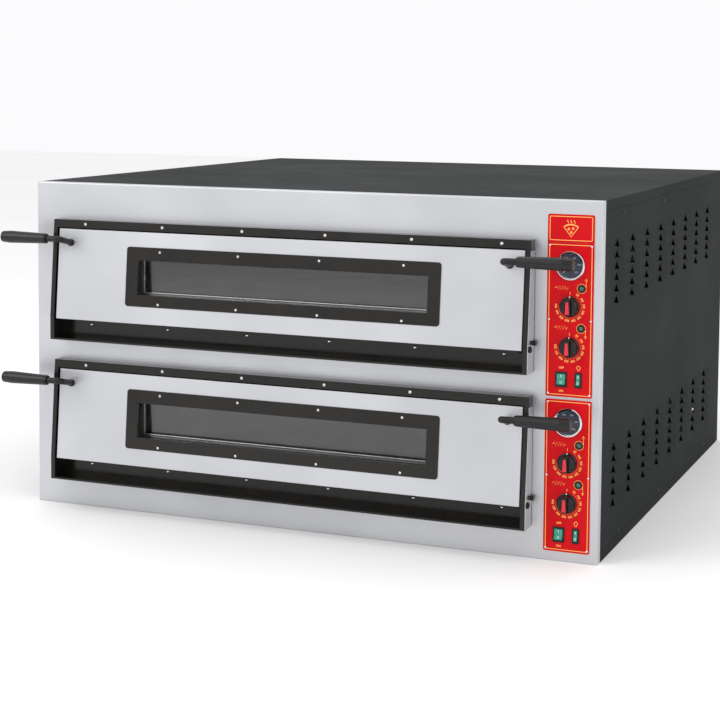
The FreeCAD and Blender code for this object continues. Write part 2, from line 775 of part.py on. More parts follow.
def surround_screws():
    """Button-head screws of the surrounds: a row in each trough and one on each leaning band."""
    heads = []
    band_face = size["surround_depth_top"] + FACE_SLOPE * (size["surround_height"] - BAND_SCREWS)
    for deck in range(len(DECKS)):
        base = size["deck_base"] + deck * size["deck_pitch"]
        for index in range(SCREWS_PER_ROW):
            x = size["door_centre"] + SCREW_ROW_X + (index - (SCREWS_PER_ROW - 1) / 2) * SCREW_PITCH
            in_trough = (x, FRONT - GAUGE, base + LOW_SCREWS)
            heads.append(screw_head(SCREW_RADIUS, SCREW_RISE, in_trough, "-Y"))
            on_band = (x, FRONT - band_face, base + BAND_SCREWS)
            leaning = screw_head(SCREW_RADIUS, SCREW_RISE, on_band, "-Y")
            leaning.Placement.Rotation = Rotation(Vector(1, 0, 0), 90 - FACE_ANGLE)
            heads.append(leaning)
    finish(grouped(heads), "surround_screws")


def mouth_seals():
    """Braided seals round the mouths, which the doors close against."""
    rings = []
    for deck in range(len(DECKS)):
        base = size["deck_base"] + deck * size["deck_pitch"]
        half = size["mouth_width"] / 2
        y = (FRONT - size["door_back"] + 0.4, FRONT - GAUGE)
        outer = box((size["door_centre"] - half - 10, size["door_centre"] + half + 10), y,
                    (base + size["mouth_low"] - 10, base + size["mouth_high"] + 10))
        inner = box((size["door_centre"] - half - 1, size["door_centre"] + half + 1), (y[0] - 1, y[1] + 1),
                    (base + size["mouth_low"] - 1, base + size["mouth_high"] + 1))
        rings.append(cut_from(outer, [inner]))
    finish(grouped(rings), "mouth_seals")


def hinge_bolts():
    """Shoulder bolts that the doors turn on, and the stop pins beside them."""
    pieces = []
    outer = size["surround_width"] / 2
    for deck in range(len(DECKS)):
        base = size["deck_base"] + deck * size["deck_pitch"]
        for side in SIDES:
            out, inward = ("+X", "-X") if side > 0 else ("-X", "+X")
            y = FRONT - size["pivot_back"]
            z = base + size["pivot_height"]
            face = size["door_centre"] + side * outer
            pin = rod_piece(size["pivot_pin"], 24, (face, y, z), inward)
            head = rod_piece(BOLT_HEAD, 2.5, (face, y, z), out)
            socket = rod_piece(BOLT_SOCKET, 2, (face + side, y, z), out)
            pieces.append(joined([pin, cut_from(head, [socket])]))
            stop = (face, FRONT - STOP_OUT, base + STOP_HEIGHT)
            pieces.append(rod_piece(STOP_RADIUS, STOP_LENGTH, stop, out))
    finish(grouped(pieces), "hinge_bolts")


# ---------------------------------------------------------------- doors

HANDLE_ON_FACE = (size["handle_foot"] - size["kink"]) / math.cos(math.radians(FACE_ANGLE))
HANDLE_PLAY = 0.4
PAN_SIDE = 3
PAN_EDGE = 2
PAN_TOP = 5.5
PANE_LEDGE_SIDE = 14
PANE_LEDGE_LOW = 4
LUG_RADIUS = 7.5
LUG_LENGTH = 6
NOTCH_RADIUS = 8
BEZEL_CORNER = 7
BEZEL_SCREWS = 4
BEZEL_SCREW_PITCH = 194
BEZEL_SCREW_HEIGHTS = (94, 211)
BEZEL_SCREW_RADIUS = 3.2
BEZEL_SCREW_RISE = 2
PANE_GAP = 6
ROD_BEND = 9
ROD_ENTRY = 0.5
ROSETTE = 3
ROSETTE_RIM = 1.5
GRIP_SOCKET = 40
GRIP_COLLAR = 3.5


def on_door_face(obj, deck):
    """Move a piece from the door-face frame, which leans back with the panel, to the oven."""
    obj.Placement = Placement(Vector(), Rotation(Vector(1, 0, 0), -FACE_ANGLE))
    base = size["deck_base"] + deck * size["deck_pitch"]
    face = size["surround_depth_low"] - size["panel_inset"]
    bind_base(obj, size["door_centre"], FRONT - face, base + size["kink"])
    return obj


def pivot_notches():
    """Round cutters that free the panel's folds from the hinge lugs, in the door-face frame."""
    face = size["surround_depth_low"] - size["panel_inset"]
    back = face - size["pivot_back"]
    drop = size["pivot_height"] - size["kink"]
    half = size["door_width"] / 2
    return [rod_piece(NOTCH_RADIUS, 20, (side * half - 10, back, drop), "+X") for side in SIDES]


def door_panel(deck, name):
    """The stainless front of the door, folded back at its edges."""
    body = doc.addObject("PartDesign::Body", "Panel")
    half = size["door_width"] / 2
    low, high = size["door_low"] - size["kink"], size["door_high"] - size["kink"]
    face = sketch_on(body, "XZ_Plane")
    rectangle(face, (-half, half), (low, high))
    block = pad(body, face, size["panel_return"], backwards=True)
    soften(body, block, 1.5, lies_at_y(0))
    hollow = sketch_on(body, "XZ_Plane", back=GAUGE)
    rectangle(hollow, (-half + GAUGE, half - GAUGE), (low + GAUGE, high - GAUGE))
    pocket(body, hollow)
    window = sketch_on(body, "XZ_Plane")
    half = size["window_width"] / 2
    opening = (size["window_low"] - size["kink"], size["window_high"] - size["kink"])
    rectangle(window, (-half, half), opening)
    for side in SIDES:
        circle(window, side * size["handle_leg"], HANDLE_ON_FACE, size["rod"] / 2 + HANDLE_PLAY)
    body.Tip = pocket(body, window)
    on_door_face(finish(cut_from(body, pivot_notches()), f"door_panel_{name}"), deck)


def pan_front(height, extra=0):
    """Front face of the pan at a height in the deck frame, just behind the panel sheet."""
    face = size["surround_depth_low"] - size["panel_inset"]
    return -face + FACE_SLOPE * (as_size(height) - size["kink"]) + GAUGE + 0.3 + extra


def pan_outline(inset):
    """Side view of the pan's main box, shrunk by an inset."""
    low = size["door_low"] + PAN_EDGE + inset
    high = size["door_high"] - PAN_TOP - inset
    back = -size["door_back"] - inset
    return (
        (pan_front(low, inset), low),
        (pan_front(high, inset), high),
        (back, high),
        (back, low),
    )


def pan_block(body, corners, width, cut=False):
    """A prism across the door, centred on the door's middle."""
    sketch = sketch_on(body, "YZ_Plane")
    outline(sketch, corners)
    if cut:
        return pocket(body, sketch, width, midplane=True)
    return pad(body, sketch, width, midplane=True)


def door_pan(deck, name):
    """The enamelled inner pan: a hollow wedge, its plug, the window tunnel and two hinge lugs."""
    body = doc.addObject("PartDesign::Body", "Pan")
    wall = size["pan_wall"]
    width = size["door_width"] - 2 * PAN_SIDE
    pan_block(body, pan_outline(0), width)
    plug_back = size["plug_depth"]
    low, high = size["plug_low"], size["plug_high"]
    back = -size["door_back"]
    plug = ((back - 1, low), (plug_back, low), (plug_back, high), (back - 1, high))
    pan_block(body, plug, size["plug_width"])
    pan_block(body, pan_outline(wall), width - 2 * wall, cut=True)
    plug_inside = ((back - wall - 1, low + wall), (plug_back - wall, low + wall),
                   (plug_back - wall, high - wall), (back - wall - 1, high - wall))
    pan_block(body, plug_inside, size["plug_width"] - 2 * wall, cut=True)
    low, high = size["window_low"] - wall, size["window_high"] + wall
    tunnel = ((pan_front(low), low), (pan_front(high), high), (plug_back - 1, high), (plug_back - 1, low))
    pan_block(body, tunnel, size["window_width"] + 2 * wall)
    low, high = size["window_low"], size["window_high"]
    passage = ((pan_front(low) - 5, low), (pan_front(high) - 5, high), (plug_back - wall, high),
               (plug_back - wall, low))
    pan_block(body, passage, size["window_width"], cut=True)
    view = sketch_on(body, "XZ_Plane")
    half = size["window_width"] / 2 - PANE_LEDGE_SIDE
    rectangle(view, (-half, half), (low + PANE_LEDGE_LOW, high - PANE_LEDGE_LOW))
    pocket(body, view)
    lugs = []
    for side in SIDES:
        edge = width / 2
        start = edge - LUG_LENGTH if side > 0 else -edge
        at = (start, -size["pivot_back"], size["pivot_height"])
        lugs.append(rod_piece(LUG_RADIUS, LUG_LENGTH, at, "+X"))
    bores = []
    for side in SIDES:
        start = (side * width / 2 - 15, -size["pivot_back"], size["pivot_height"])
        bores.append(rod_piece(size["pivot_bore"], 30, start, "+X"))
    solid = cut_from(joined([body] + lugs), bores)
    in_deck(finish(solid, f"door_pan_{name}"), deck)


def window_bezel(deck, name):
    """The black frame screwed round the window."""
    body = new_body(f"window_bezel_{name}")
    half = size["bezel_width"] / 2
    low, high = size["bezel_low"] - size["kink"], size["bezel_high"] - size["kink"]
    face = sketch_on(body, "XZ_Plane")
    rectangle(face, (-half, half), (low, high))
    block = pad(body, face, size["bezel_thick"])
    corners = soften(body, block, BEZEL_CORNER, runs_along_y)
    soften(body, corners, 0.8, lies_at_y(-size["bezel_thick"].value))
    window = sketch_on(body, "XZ_Plane", back=-size["bezel_thick"] - 1)
    half = size["window_width"] / 2
    opening = (size["window_low"] - size["kink"], size["window_high"] - size["kink"])
    rectangle(window, (-half, half), opening)
    body.Tip = pocket(body, window)
    on_door_face(body, deck)


def bezel_screws(deck, name):
    """Four button-head screws above and four below the window."""
    heads = []
    for index in range(BEZEL_SCREWS):
        x = (index - (BEZEL_SCREWS - 1) / 2) * BEZEL_SCREW_PITCH
        for height in BEZEL_SCREW_HEIGHTS:
            at = (x, -size["bezel_thick"], height - size["kink"])
            heads.append(screw_head(BEZEL_SCREW_RADIUS, BEZEL_SCREW_RISE, at, "-Y"))
    on_door_face(finish(grouped(heads), f"bezel_screws_{name}"), deck)


def window_glass(deck, name):
    """Two heat-resistant panes at the inner end of the window tunnel."""
    half = size["window_width"] / 2 - 0.5
    level = (size["window_low"] + 0.5, size["window_high"] - 0.5)
    back = size["plug_depth"] - size["pan_wall"]
    inner = box((-half, half), (back - size["glass"], back - 0.1), level)
    outer = box((-half, half), (back - 2 * size["glass"] - PANE_GAP, back - size["glass"] - PANE_GAP), level)
    in_deck(finish(grouped([outer, inner]), f"window_glass_{name}"), deck)


def handle_rods(deck, name):
    """The bent rods: a leg that rises out of a rosette on the panel and a run to the side."""
    reach = size["handle_reach"].value
    height = size["handle_height"].value
    foot_height = size["handle_foot"].value
    radius = size["rod"].value / 2
    face = size["surround_depth_low"].value - size["panel_inset"].value
    on_panel = -face + FACE_SLOPE.value * (foot_height - size["kink"].value)
    lean = math.radians(FACE_ANGLE)
    outward = Vector(0, -math.cos(lean), math.sin(lean))
    rods = []
    for side in SIDES:
        leg = side * size["handle_leg"].value
        end = side * (size["handle_tip"].value - size["grip_length"].value + GRIP_SOCKET - 2)
        across = Vector(side, 0, 0)
        foot = Vector(leg, on_panel + ROD_ENTRY, foot_height)
        corner = Vector(leg, -reach, height)
        along = (corner - foot).normalize()
        turn = corner - along * ROD_BEND
        after = corner + across * ROD_BEND
        knee = turn + across * ROD_BEND + (along - across) * ROD_BEND * math.sqrt(0.5)
        edges = [
            Part.LineSegment(foot, turn).toShape(),
            Part.Arc(turn, knee, after).toShape(),
            Part.LineSegment(after, Vector(end, -reach, height)).toShape(),
        ]
        ring = Part.Wire(Part.Circle(foot, along, radius).toShape())
        rod = Part.Wire(edges).makePipeShell([ring], True, True)
        on_face = Vector(leg, on_panel, foot_height) + outward * 0.05
        rods.append(rod.fuse(Part.makeCylinder(radius + ROSETTE_RIM, ROSETTE, on_face, outward)))
    item = doc.addObject("Part::Feature", "Rods")
    item.Shape = Part.makeCompound(rods)
    in_deck(finish(item, f"handle_rods_{name}"), deck)


def handle_grips(deck, name):
    """Tapered heat-proof grips with a collar and a rounded tip."""
    grips = []
    for side in SIDES:
        body = doc.addObject("PartDesign::Body", "Grip")
        small, large = size["grip_small"] / 2, size["grip_large"] / 2
        length = size["grip_length"]
        block = revolved(body, (
            (size["rod"] / 2 + 0.1, 0), (small - 1, 0), (small - 1, GRIP_COLLAR), (small, GRIP_COLLAR),
            (large, length - 22), (large - 1.5, length), (0, length),
            (0, GRIP_SOCKET), (size["rod"] / 2 + 0.1, GRIP_SOCKET)))
        body.Tip = soften(body, block, 4, is_grip_tip)
        at = (side * (size["handle_tip"] - length), -size["handle_reach"], size["handle_height"])
        grips.append(turned(body, "+X" if side > 0 else "-X", at))
    in_deck(finish(grouped(grips), f"handle_grips_{name}"), deck)


def is_grip_tip(edge):
    """True for the round edge at a grip's tip."""
    top = size["grip_length"].value
    return abs(edge.BoundBox.ZMin - top) < 1e-6 and edge.BoundBox.XLength > 1


# ---------------------------------------------------------------- controls

PLATE_SCREW_RADIUS = 2.6
PLATE_SCREW_RISE = 1.6


def rounded_plate(node, low, high, deck, holes, round_ends):
    """A red lacquered plate on the fascia, with round corners at the ends that stand free."""
    body = new_body(node)
    face = sketch_on(body, "XZ_Plane")
    half = size["plate_width"] / 2
    rectangle(face, (size["control_x"] - half, size["control_x"] + half), (low, high))
    block = pad(body, face, GAUGE)
    levels = [as_size(end).value for end in round_ends]
    rounded = soften(body, block, size["plate_corner"], runs_along_y_at(levels))
    if holes:
        openings = sketch_on(body, "XZ_Plane", back=-GAUGE - 1)
        control_holes(openings, size["control_x"], 0)
        rounded = pocket(body, openings)
    body.Tip = rounded
    in_deck(body, deck)


def plate_screws():
    """Small screws at the corners and the middle of the control plates."""
    heads = []
    middle = (size["plate_low"] + size["plate_high"]) / 2
    for deck in range(len(DECKS)):
        base = size["deck_base"] + deck * size["deck_pitch"]
        for side in SIDES:
            x = size["door_centre"] + size["control_x"] + side * (size["plate_width"] / 2 - 5)
            for height in (size["plate_low"] + 6, middle, size["plate_high"] - 6):
                at = (x, FRONT - GAUGE, base + height)
                heads.append(screw_head(PLATE_SCREW_RADIUS, PLATE_SCREW_RISE, at, "-Y"))
    finish(grouped(heads), "plate_screws")


def control_place(obj, deck, x, height, y=0):
    """Put a control, modelled about its own axis, in its place on the oven."""
    base = size["deck_base"] + deck * size["deck_pitch"]
    bind_base(obj, size["door_centre"] + size["control_x"] + x, FRONT + y, base + height)
    return obj


DIAL_FACE = 2.5
DIAL_RIM_HEIGHT = 6
BEZEL = 3
NEEDLE_LENGTH = 21
NEEDLE_REST = -135


def thermometer_cases():
    """Dial thermometers: a turned bezel, a recessed face and a case behind the fascia."""
    cases = []
    for deck in range(len(DECKS)):
        body = doc.addObject("PartDesign::Body", "DialCase")
        radius = size["dial_radius"]
        face = GAUGE + DIAL_FACE - 1
        rim = GAUGE + DIAL_RIM_HEIGHT
        body.Tip = revolved(body, (
            (0.65, -0.5), (0.65, face), (radius - BEZEL, face), (radius - BEZEL, rim),
            (radius - 1.5, rim),
            (radius, rim - 2), (radius, GAUGE), (DIAL_BODY_RADIUS, GAUGE), (DIAL_BODY_RADIUS, -24),
            (0, -24), (0, -0.5)))
        body.Placement = Placement(Vector(), AXIS_TURNS["-Y"])
        cases.append(control_place(body, deck, 0, size["dial_height"]))
    finish(grouped(cases), "thermometer_cases")


def thermometer_glasses():
    """Flat glasses in the thermometer bezels."""
    discs = []
    for deck in range(len(DECKS)):
        disc = rod_piece(size["dial_radius"] - BEZEL - 0.1, 1, (0, 0, 0), "-Y")
        discs.append(control_place(disc, deck, 0, size["dial_height"], -GAUGE - DIAL_RIM_HEIGHT + 1.7))
    finish(grouped(discs), "thermometer_glasses")


def thermometer_needle(deck, name):
    """A tapered pointer with its hub and pivot, pointing to the cold end of the scale."""
    face = GAUGE + DIAL_FACE - 1
    hub = rod_piece(2.6, 1.2, (0, -face - 0.3, 0), "-Y")
    pivot = rod_piece(0.6, 2.5, (0, -face - 0.4, 0), "+Y")
    body = doc.addObject("PartDesign::Body", "Pointer")
    blade = sketch_on(body, "XZ_Plane", back=-face - 0.6)
    tip = NEEDLE_LENGTH
    outline(blade, ((-1.1, -7), (1.1, -7), (0.9, 0), (0.25, tip), (-0.25, tip), (-0.9, 0)))
    body.Tip = pad(body, blade, 0.6)
    body.Placement = Placement(Vector(), Rotation(Vector(0, 1, 0), NEEDLE_REST))
    pointer = joined([hub, pivot, body])
    finish(pointer, f"thermometer_needle_{name}")
    control_place(pointer, deck, 0, size["dial_height"])


def pilot_lamps():
    """Signal lamps: a black bezel with its body, and a green domed lens."""
    bezels = []
    lenses = []
    for deck in range(len(DECKS)):
        for height in PILOT_HEIGHTS:
            ring = rod_piece(size["lamp_radius"], 1.5, (0, -GAUGE, 0), "-Y")
            tail = rod_piece(PILOT_BODY_RADIUS, GAUGE + 18, (0, -GAUGE, 0), "+Y")
            seat = rod_piece(4.6, 5, (0, -GAUGE + 1, 0), "-Y")
            bezel = cut_from(joined([ring, tail]), [seat])
            bezels.append(control_place(bezel, deck, size["lamp_x"], height))
            stub = rod_piece(4.5, 2.4, (0, -GAUGE + 0.9, 0), "-Y")
            dome = dome_piece(4.5, 2.2, (0, -GAUGE - 1.5, 0), "-Y")
            lenses.append(control_place(joined([stub, dome]), deck, size["lamp_x"], height))
    finish(grouped(bezels), "pilot_lamp_bezels")
    finish(grouped(lenses), "pilot_lamp_lenses")


def thermostat_knob(deck, name, index):
    """A black knob with a skirt, a raised grip bar and the spindle that turns in the thermostat."""
    gap = GAUGE + 0.6
    radius = size["knob_radius"]
    body = doc.addObject("PartDesign::Body", "Knob")
    body.Tip = revolved(body, (
        (0, gap), (radius, gap), (radius, gap + 3), (radius - 2, gap + 4.5),
        (radius - 3, gap + 13), (radius - 4.5, gap + 14.5), (0, gap + 14.5)))
    body.Placement = Placement(Vector(), AXIS_TURNS["-Y"])
    bar_body = doc.addObject("PartDesign::Body", "GripBar")
    plan = sketch_on(bar_body, "XZ_Plane", back=-gap - 13)
    half = 5.5
    reach = radius - 2.2
    outline(plan, ((-half, -reach + 2), (half, -reach + 2), (half, reach - 2), (-half, reach - 2)))
    bar = pad(bar_body, plan, 10)
    bar_body.Tip = soften(bar_body, bar, 2, lies_at_y(-gap.value - 23))
    spindle = rod_piece(3, gap.value + 12.5, (0, -gap - 0.5, 0), "+Y")
    knob = joined([body, bar_body, spindle])
    finish(knob, f"thermostat_knob_{name}_{index + 1}")
    control_place(knob, deck, 0, THERMOSTAT_HEIGHTS[index])


def thermostat_bodies():
    """Capillary thermostats behind the fascia, each with the bush that guides its spindle."""
    items = []
    for deck in range(len(DECKS)):
        for height in THERMOSTAT_HEIGHTS:
            case = box((-20, 20), (8, 45), (-17, 17))
            bush = rod_piece(4.7, 5, (0, 3.2, 0), "+Y")
            bore = rod_piece(3.05, 30, (0, -5, 0), "+Y")
            items.append(control_place(cut_from(joined([case, bush]), [bore]), deck, 0, height))
    finish(grouped(items), "thermostat_bodies")


ROCKER_PIVOT = 0
ROCKER_TILT = 9
ROCKER_PLAY = 0.3
TRUNNION = 1.5


def switch_frames():
    """Black switch housings snapped into the fascia."""
    frames = []
    for deck in range(len(DECKS)):
        for _, offset, width in SWITCHES:
            half_w = width / 2
            half_h = size["rocker_height"] / 2
            rim = box((-half_w - SWITCH_FRAME, half_w + SWITCH_FRAME), (-GAUGE - 2, -GAUGE),
                      (-half_h - SWITCH_FRAME, half_h + SWITCH_FRAME))
            grow = SWITCH_FRAME - 1
            case = box((-half_w - grow, half_w + grow), (-GAUGE - 1, 26),
                       (-half_h - grow, half_h + grow))
            well = box((-half_w - ROCKER_PLAY, half_w + ROCKER_PLAY), (-GAUGE - 3, 22),
                       (-half_h - ROCKER_PLAY, half_h + ROCKER_PLAY))
            axle = rod_piece(TRUNNION + 0.05, width + 3, (-half_w - 1.5, ROCKER_PIVOT, 0), "+X")
            frame = cut_from(joined([rim, case]), [joined([well, axle])])
            frames.append(control_place(frame, deck, offset, size["switch_height"]))
    finish(grouped(frames), "switch_frames")


def rocker(deck, name, kind, offset, width):
    """A rocker with a dished front, round about its trunnions, tipped to one side."""
    half_h = size["rocker_height"] / 2
    drum = rod_piece(half_h, width, (-width / 2, 0, 0), "+X")
    body = doc.addObject("PartDesign::Body", "RockerKey")
    side = sketch_on(body, "YZ_Plane")
    outline(side, ((-6.5, half_h), (-3.6, 0), (-6.5, -half_h), (6, -half_h), (6, half_h)))
    body.Tip = pad(body, side, width, midplane=True)
    key = doc.addObject("Part::MultiCommon", "Key")
    key.Shapes = [drum, body]
    axle = rod_piece(TRUNNION, width + 2.4, (-width / 2 - 1.2, 0, 0), "+X")
    item = joined([key, axle])
    item.Placement = Placement(Vector(), Rotation(Vector(1, 0, 0), -ROCKER_TILT))
    finish(item, f"{kind}_rocker_{name}")
    control_place(item, deck, offset, size["switch_height"], ROCKER_PIVOT)


# ---------------------------------------------------------------- fasteners and supply


COVER_SCREW_Y = (175, 570, 1115)
COVER_SCREW_HEIGHTS = (30, 717)
REAR_SCREW_X = (-600, -200, 200, 600)
COVER_SCREW_RADIUS = 4
COVER_SCREW_RISE = 2.4


def cover_screws():
    """Button-head screws of the side covers and the rear cover."""
    heads = []
    for height in COVER_SCREW_HEIGHTS:
        for y in COVER_SCREW_Y:
            for side, axis in ((-1, "-X"), (1, "+X")):
                at = (side * HALF_WIDTH, FRONT + y, height)
                heads.append(screw_head(COVER_SCREW_RADIUS, COVER_SCREW_RISE, at, axis))
        for x in REAR_SCREW_X:
            at = (x, HALF_DEPTH, height)
            heads.append(screw_head(COVER_SCREW_RADIUS, COVER_SCREW_RISE, at, "+Y"))
    finish(grouped(heads), "cover_screws")


def cable_gland():
    """The hollow gland in the rear cover where the supply cable enters."""
    hexagon = doc.addObject("Part::Prism", "Hexagon")
    hexagon.Polygon = 6
    bind(hexagon, "Circumradius", 17)
    bind(hexagon, "Height", 8)
    turned(hexagon, "+Y", (GLAND_X, HALF_DEPTH, GLAND_HEIGHT))
    thread = rod_piece(GLAND_RADIUS - 0.2, 20, (GLAND_X, HALF_DEPTH - 16, GLAND_HEIGHT), "+Y")
    cap = cone_piece(14, 11.5, 12, (GLAND_X, HALF_DEPTH + 8, GLAND_HEIGHT), "+Y")
    bore = rod_piece(8, 60, (GLAND_X, HALF_DEPTH - 20, GLAND_HEIGHT), "+Y")
    finish(cut_from(joined([hexagon, thread, cap]), [bore]), "cable_gland")


def terminal_block():
    """The five-pole terminal block on the compartment wall."""
    wall_x = size["door_centre"] + size["mouth_width"] / 2 + COMPARTMENT_GAP + GAUGE
    base = box((wall_x, wall_x + 24), (450, 560), (100, 140))
    wells = []
    for pole in range(5):
        middle = 461 + pole * 22
        wells.append(box((wall_x + 12, wall_x + 30), (middle - 7, middle + 7), (104, 117)))
        wells.append(box((wall_x + 12, wall_x + 30), (middle - 7, middle + 7), (123, 136)))
    finish(cut_from(base, wells), "terminal_block")


# ---------------------------------------------------------------- the oven

front_fascia()
side_run, cover_levels = casing_covers()
right_side_cover(side_run, cover_levels)
inner_sheets()
cheek_plates()
surround_screws()
mouth_seals()
hinge_bolts()
chamber_lamps()
plate_screws()
thermometer_cases()
thermometer_glasses()
pilot_lamps()
thermostat_bodies()
switch_frames()
cover_screws()
cable_gland()
terminal_block()
rounded_plate("header_plate", size["header_low"], size["header_high"], 1, False, (size["header_high"],))

for deck, name in enumerate(DECKS):
    chamber_shell(deck, name)
    insulation(deck, name)
    hearth_stones(deck, name)
    heating_elements(deck, name)
    door_surround(deck, name)
    free_ends = (size["plate_low"],) if name == "upper" else (size["plate_low"], size["plate_high"])
    rounded_plate(f"control_plate_{name}", size["plate_low"], size["plate_high"], deck, True, free_ends)
    door_panel(deck, name)
    door_pan(deck, name)
    window_bezel(deck, name)
    window_glass(deck, name)
    bezel_screws(deck, name)
    handle_rods(deck, name)
    handle_grips(deck, name)
    thermometer_needle(deck, name)
    for index in range(len(THERMOSTAT_HEIGHTS)):
        thermostat_knob(deck, name, index)
    for kind, offset, width in SWITCHES:
        rocker(deck, name, kind, offset, width)

doc.recompute()

faults = []
for item in doc.Objects:
    if "Invalid" in item.State or "Error" in item.State:
        faults.append(f"{item.Name} ({item.Label}): {item.State}")
for item in finished:
    if item.Shape.isNull() or not item.Shape.isValid():
        faults.append(f"{item.Label}: no valid shape")
if faults:
    raise RuntimeError("; ".join(faults))

os.makedirs("parts", exist_ok=True)
for item in finished:
    item.Shape.exportStep(f"parts/{item.Label}.step")
    print(f"{item.Label}: {len(item.Shape.Solids)} solids, {item.Shape.Volume / 1000:.1f} cm3")
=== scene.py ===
"""Looks of a double-deck electric pizza oven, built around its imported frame."""

import json
import math

import bmesh
import bpy
from mathutils import Euler, Matrix, Vector


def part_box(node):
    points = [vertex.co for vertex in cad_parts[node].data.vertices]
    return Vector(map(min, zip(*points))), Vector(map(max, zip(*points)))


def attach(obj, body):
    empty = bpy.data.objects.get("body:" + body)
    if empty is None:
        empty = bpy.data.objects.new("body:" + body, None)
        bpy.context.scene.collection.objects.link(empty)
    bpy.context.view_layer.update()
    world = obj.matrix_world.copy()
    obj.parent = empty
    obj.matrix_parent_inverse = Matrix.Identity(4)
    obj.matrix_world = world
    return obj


bl_info = {
    "name": "Deck Pizza Oven",
    "version": (1, 0, 0),
    "blender": (4, 5, 0),
    "location": "3D View > Sidebar > Pizza Oven",
    "description": "Finishes, printing and small fittings of a double-deck pizza oven",
    "category": "Add Mesh",
}

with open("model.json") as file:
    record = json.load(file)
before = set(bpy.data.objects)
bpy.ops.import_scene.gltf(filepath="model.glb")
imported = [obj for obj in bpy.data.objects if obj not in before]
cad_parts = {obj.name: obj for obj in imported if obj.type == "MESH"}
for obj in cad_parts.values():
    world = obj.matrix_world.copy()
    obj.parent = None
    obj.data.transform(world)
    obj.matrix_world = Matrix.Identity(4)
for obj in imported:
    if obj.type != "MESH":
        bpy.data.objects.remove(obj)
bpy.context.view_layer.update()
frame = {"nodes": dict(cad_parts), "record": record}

MM = 0.001
DECKS = ("lower", "upper")


# ---------------------------------------------------------------- where things are


def middle(node):
    """Centre of a node's box."""
    low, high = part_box(node)
    return (low + high) / 2


PLATE_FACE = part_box("control_plate_lower")[0].y
PRINT_HEIGHT = 0.15 * MM
BOLDNESS = 0.035
FONT_SIZE_PER_HEIGHT = 1.38
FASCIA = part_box("front_fascia")


# ---------------------------------------------------------------- settings


class OvenFinish(bpy.types.PropertyGroup):
    """Colours of the oven."""

    steel: bpy.props.StringProperty(
        name="Stainless steel", description="sRGB colour of the brushed front", default="#C7C8CB")
    casing: bpy.props.StringProperty(
        name="Casing paint", description="sRGB colour of the covers", default="#222424")
    enamel: bpy.props.StringProperty(
        name="Enamel", description="sRGB colour of the door surrounds", default="#171512")
    plate: bpy.props.StringProperty(
        name="Control plates", description="sRGB colour of the lacquered plates", default="#C9121B")
    printing: bpy.props.StringProperty(
        name="Printing", description="sRGB colour of the plates' printing", default="#FFB45A")
    rocker: bpy.props.StringProperty(
        name="Rockers", description="sRGB colour of the rockers", default="#079A7E")


class OvenPrinting(bpy.types.PropertyGroup):
    """Sizes of what is printed on the control plates and the dials."""

    line: bpy.props.FloatProperty(
        name="Border line", description="Width of the border lines", default=1.6 * MM, unit="LENGTH")
    stroke: bpy.props.FloatProperty(
        name="Symbol line", description="Width of the symbols' lines", default=1.3 * MM, unit="LENGTH")
    numeral: bpy.props.FloatProperty(
        name="Numerals", description="Height of the knob scales' numerals", default=4.64 * MM, unit="LENGTH")
    scale_radius: bpy.props.FloatProperty(
        name="Knob scale", description="Radius of the knob scales' numerals", default=29 * MM, unit="LENGTH")


class OvenCamera(bpy.types.PropertyGroup):
    """Where the camera stands."""

    place: bpy.props.FloatVectorProperty(
        name="Place", description="Position of the camera", default=(1.509, -4.017, 0.995), unit="LENGTH")
    heading: bpy.props.FloatProperty(
        name="Heading", description="Turn to the left of straight on", default=math.radians(22.244),
        subtype="ANGLE")
    pitch: bpy.props.FloatProperty(
        name="Pitch", description="Tilt down", default=math.radians(4.12), subtype="ANGLE")
    roll: bpy.props.FloatProperty(
        name="Roll", description="Turn about the view axis", default=math.radians(0.447), subtype="ANGLE")
    lens: bpy.props.FloatProperty(
        name="Lens", description="Focal length in millimetres", default=84.85)
    shift: bpy.props.FloatProperty(
        name="Shift", description="Vertical lens shift", default=-0.222)


# ---------------------------------------------------------------- nodes


def linear(code, alpha=1.0):
    """A hex sRGB colour as linear values."""
    channels = [int(code[i:i + 2], 16) / 255 for i in (1, 3, 5)]
    return (*[c / 12.92 if c <= 0.04045 else ((c + 0.055) / 1.055) ** 2.4 for c in channels], alpha)


def add_node(tree, kind, links=None, **settings):
    """Add a node. Keys of links are input names or numbers; values are sockets or plain values."""
    node = tree.nodes.new(kind)
    for name, value in settings.items():
        setattr(node, name, value)
    for key, value in (links or {}).items():
        socket = node.inputs[key]
        if isinstance(value, bpy.types.NodeSocket):
            tree.links.new(value, socket)
        else:
            socket.default_value = value
    return node


def start_material(name, **values):
    """A material with its shader's plain values set on the shader's own sockets."""
    material = bpy.data.materials.new(name)
    material.use_nodes = True
    tree = material.node_tree
    tree.nodes.clear()
    shader = add_node(tree, "ShaderNodeBsdfPrincipled")
    for key, value in values.items():
        shader.inputs[key.replace("_", " ")].default_value = value
    add_node(tree, "ShaderNodeOutputMaterial", {"Surface": shader.outputs[0]})
    return material, tree, shader


def grain(tree, per_mm, stretch=(1, 1, 1), detail=3.0, roughness=0.55):
    """Noise on Object coordinates; per_mm is the size of one grain in millimetres."""
    where = add_node(tree, "ShaderNodeTexCoord")
    shaped = add_node(tree, "ShaderNodeMapping", {0: where.outputs["Object"], "Scale": stretch})
    return add_node(tree, "ShaderNodeTexNoise", {
        "Vector": shaped.outputs[0], "Scale": 1 / (per_mm * MM), "Detail": detail, "Roughness": roughness,
    }).outputs[0]


def between(tree, value, low, high, start=0.3, end=0.7):
    """Map a noise value to a range."""
    return add_node(tree, "ShaderNodeMapRange", {
        0: value, 1: start, 2: end, 3: low, 4: high}).outputs[0]


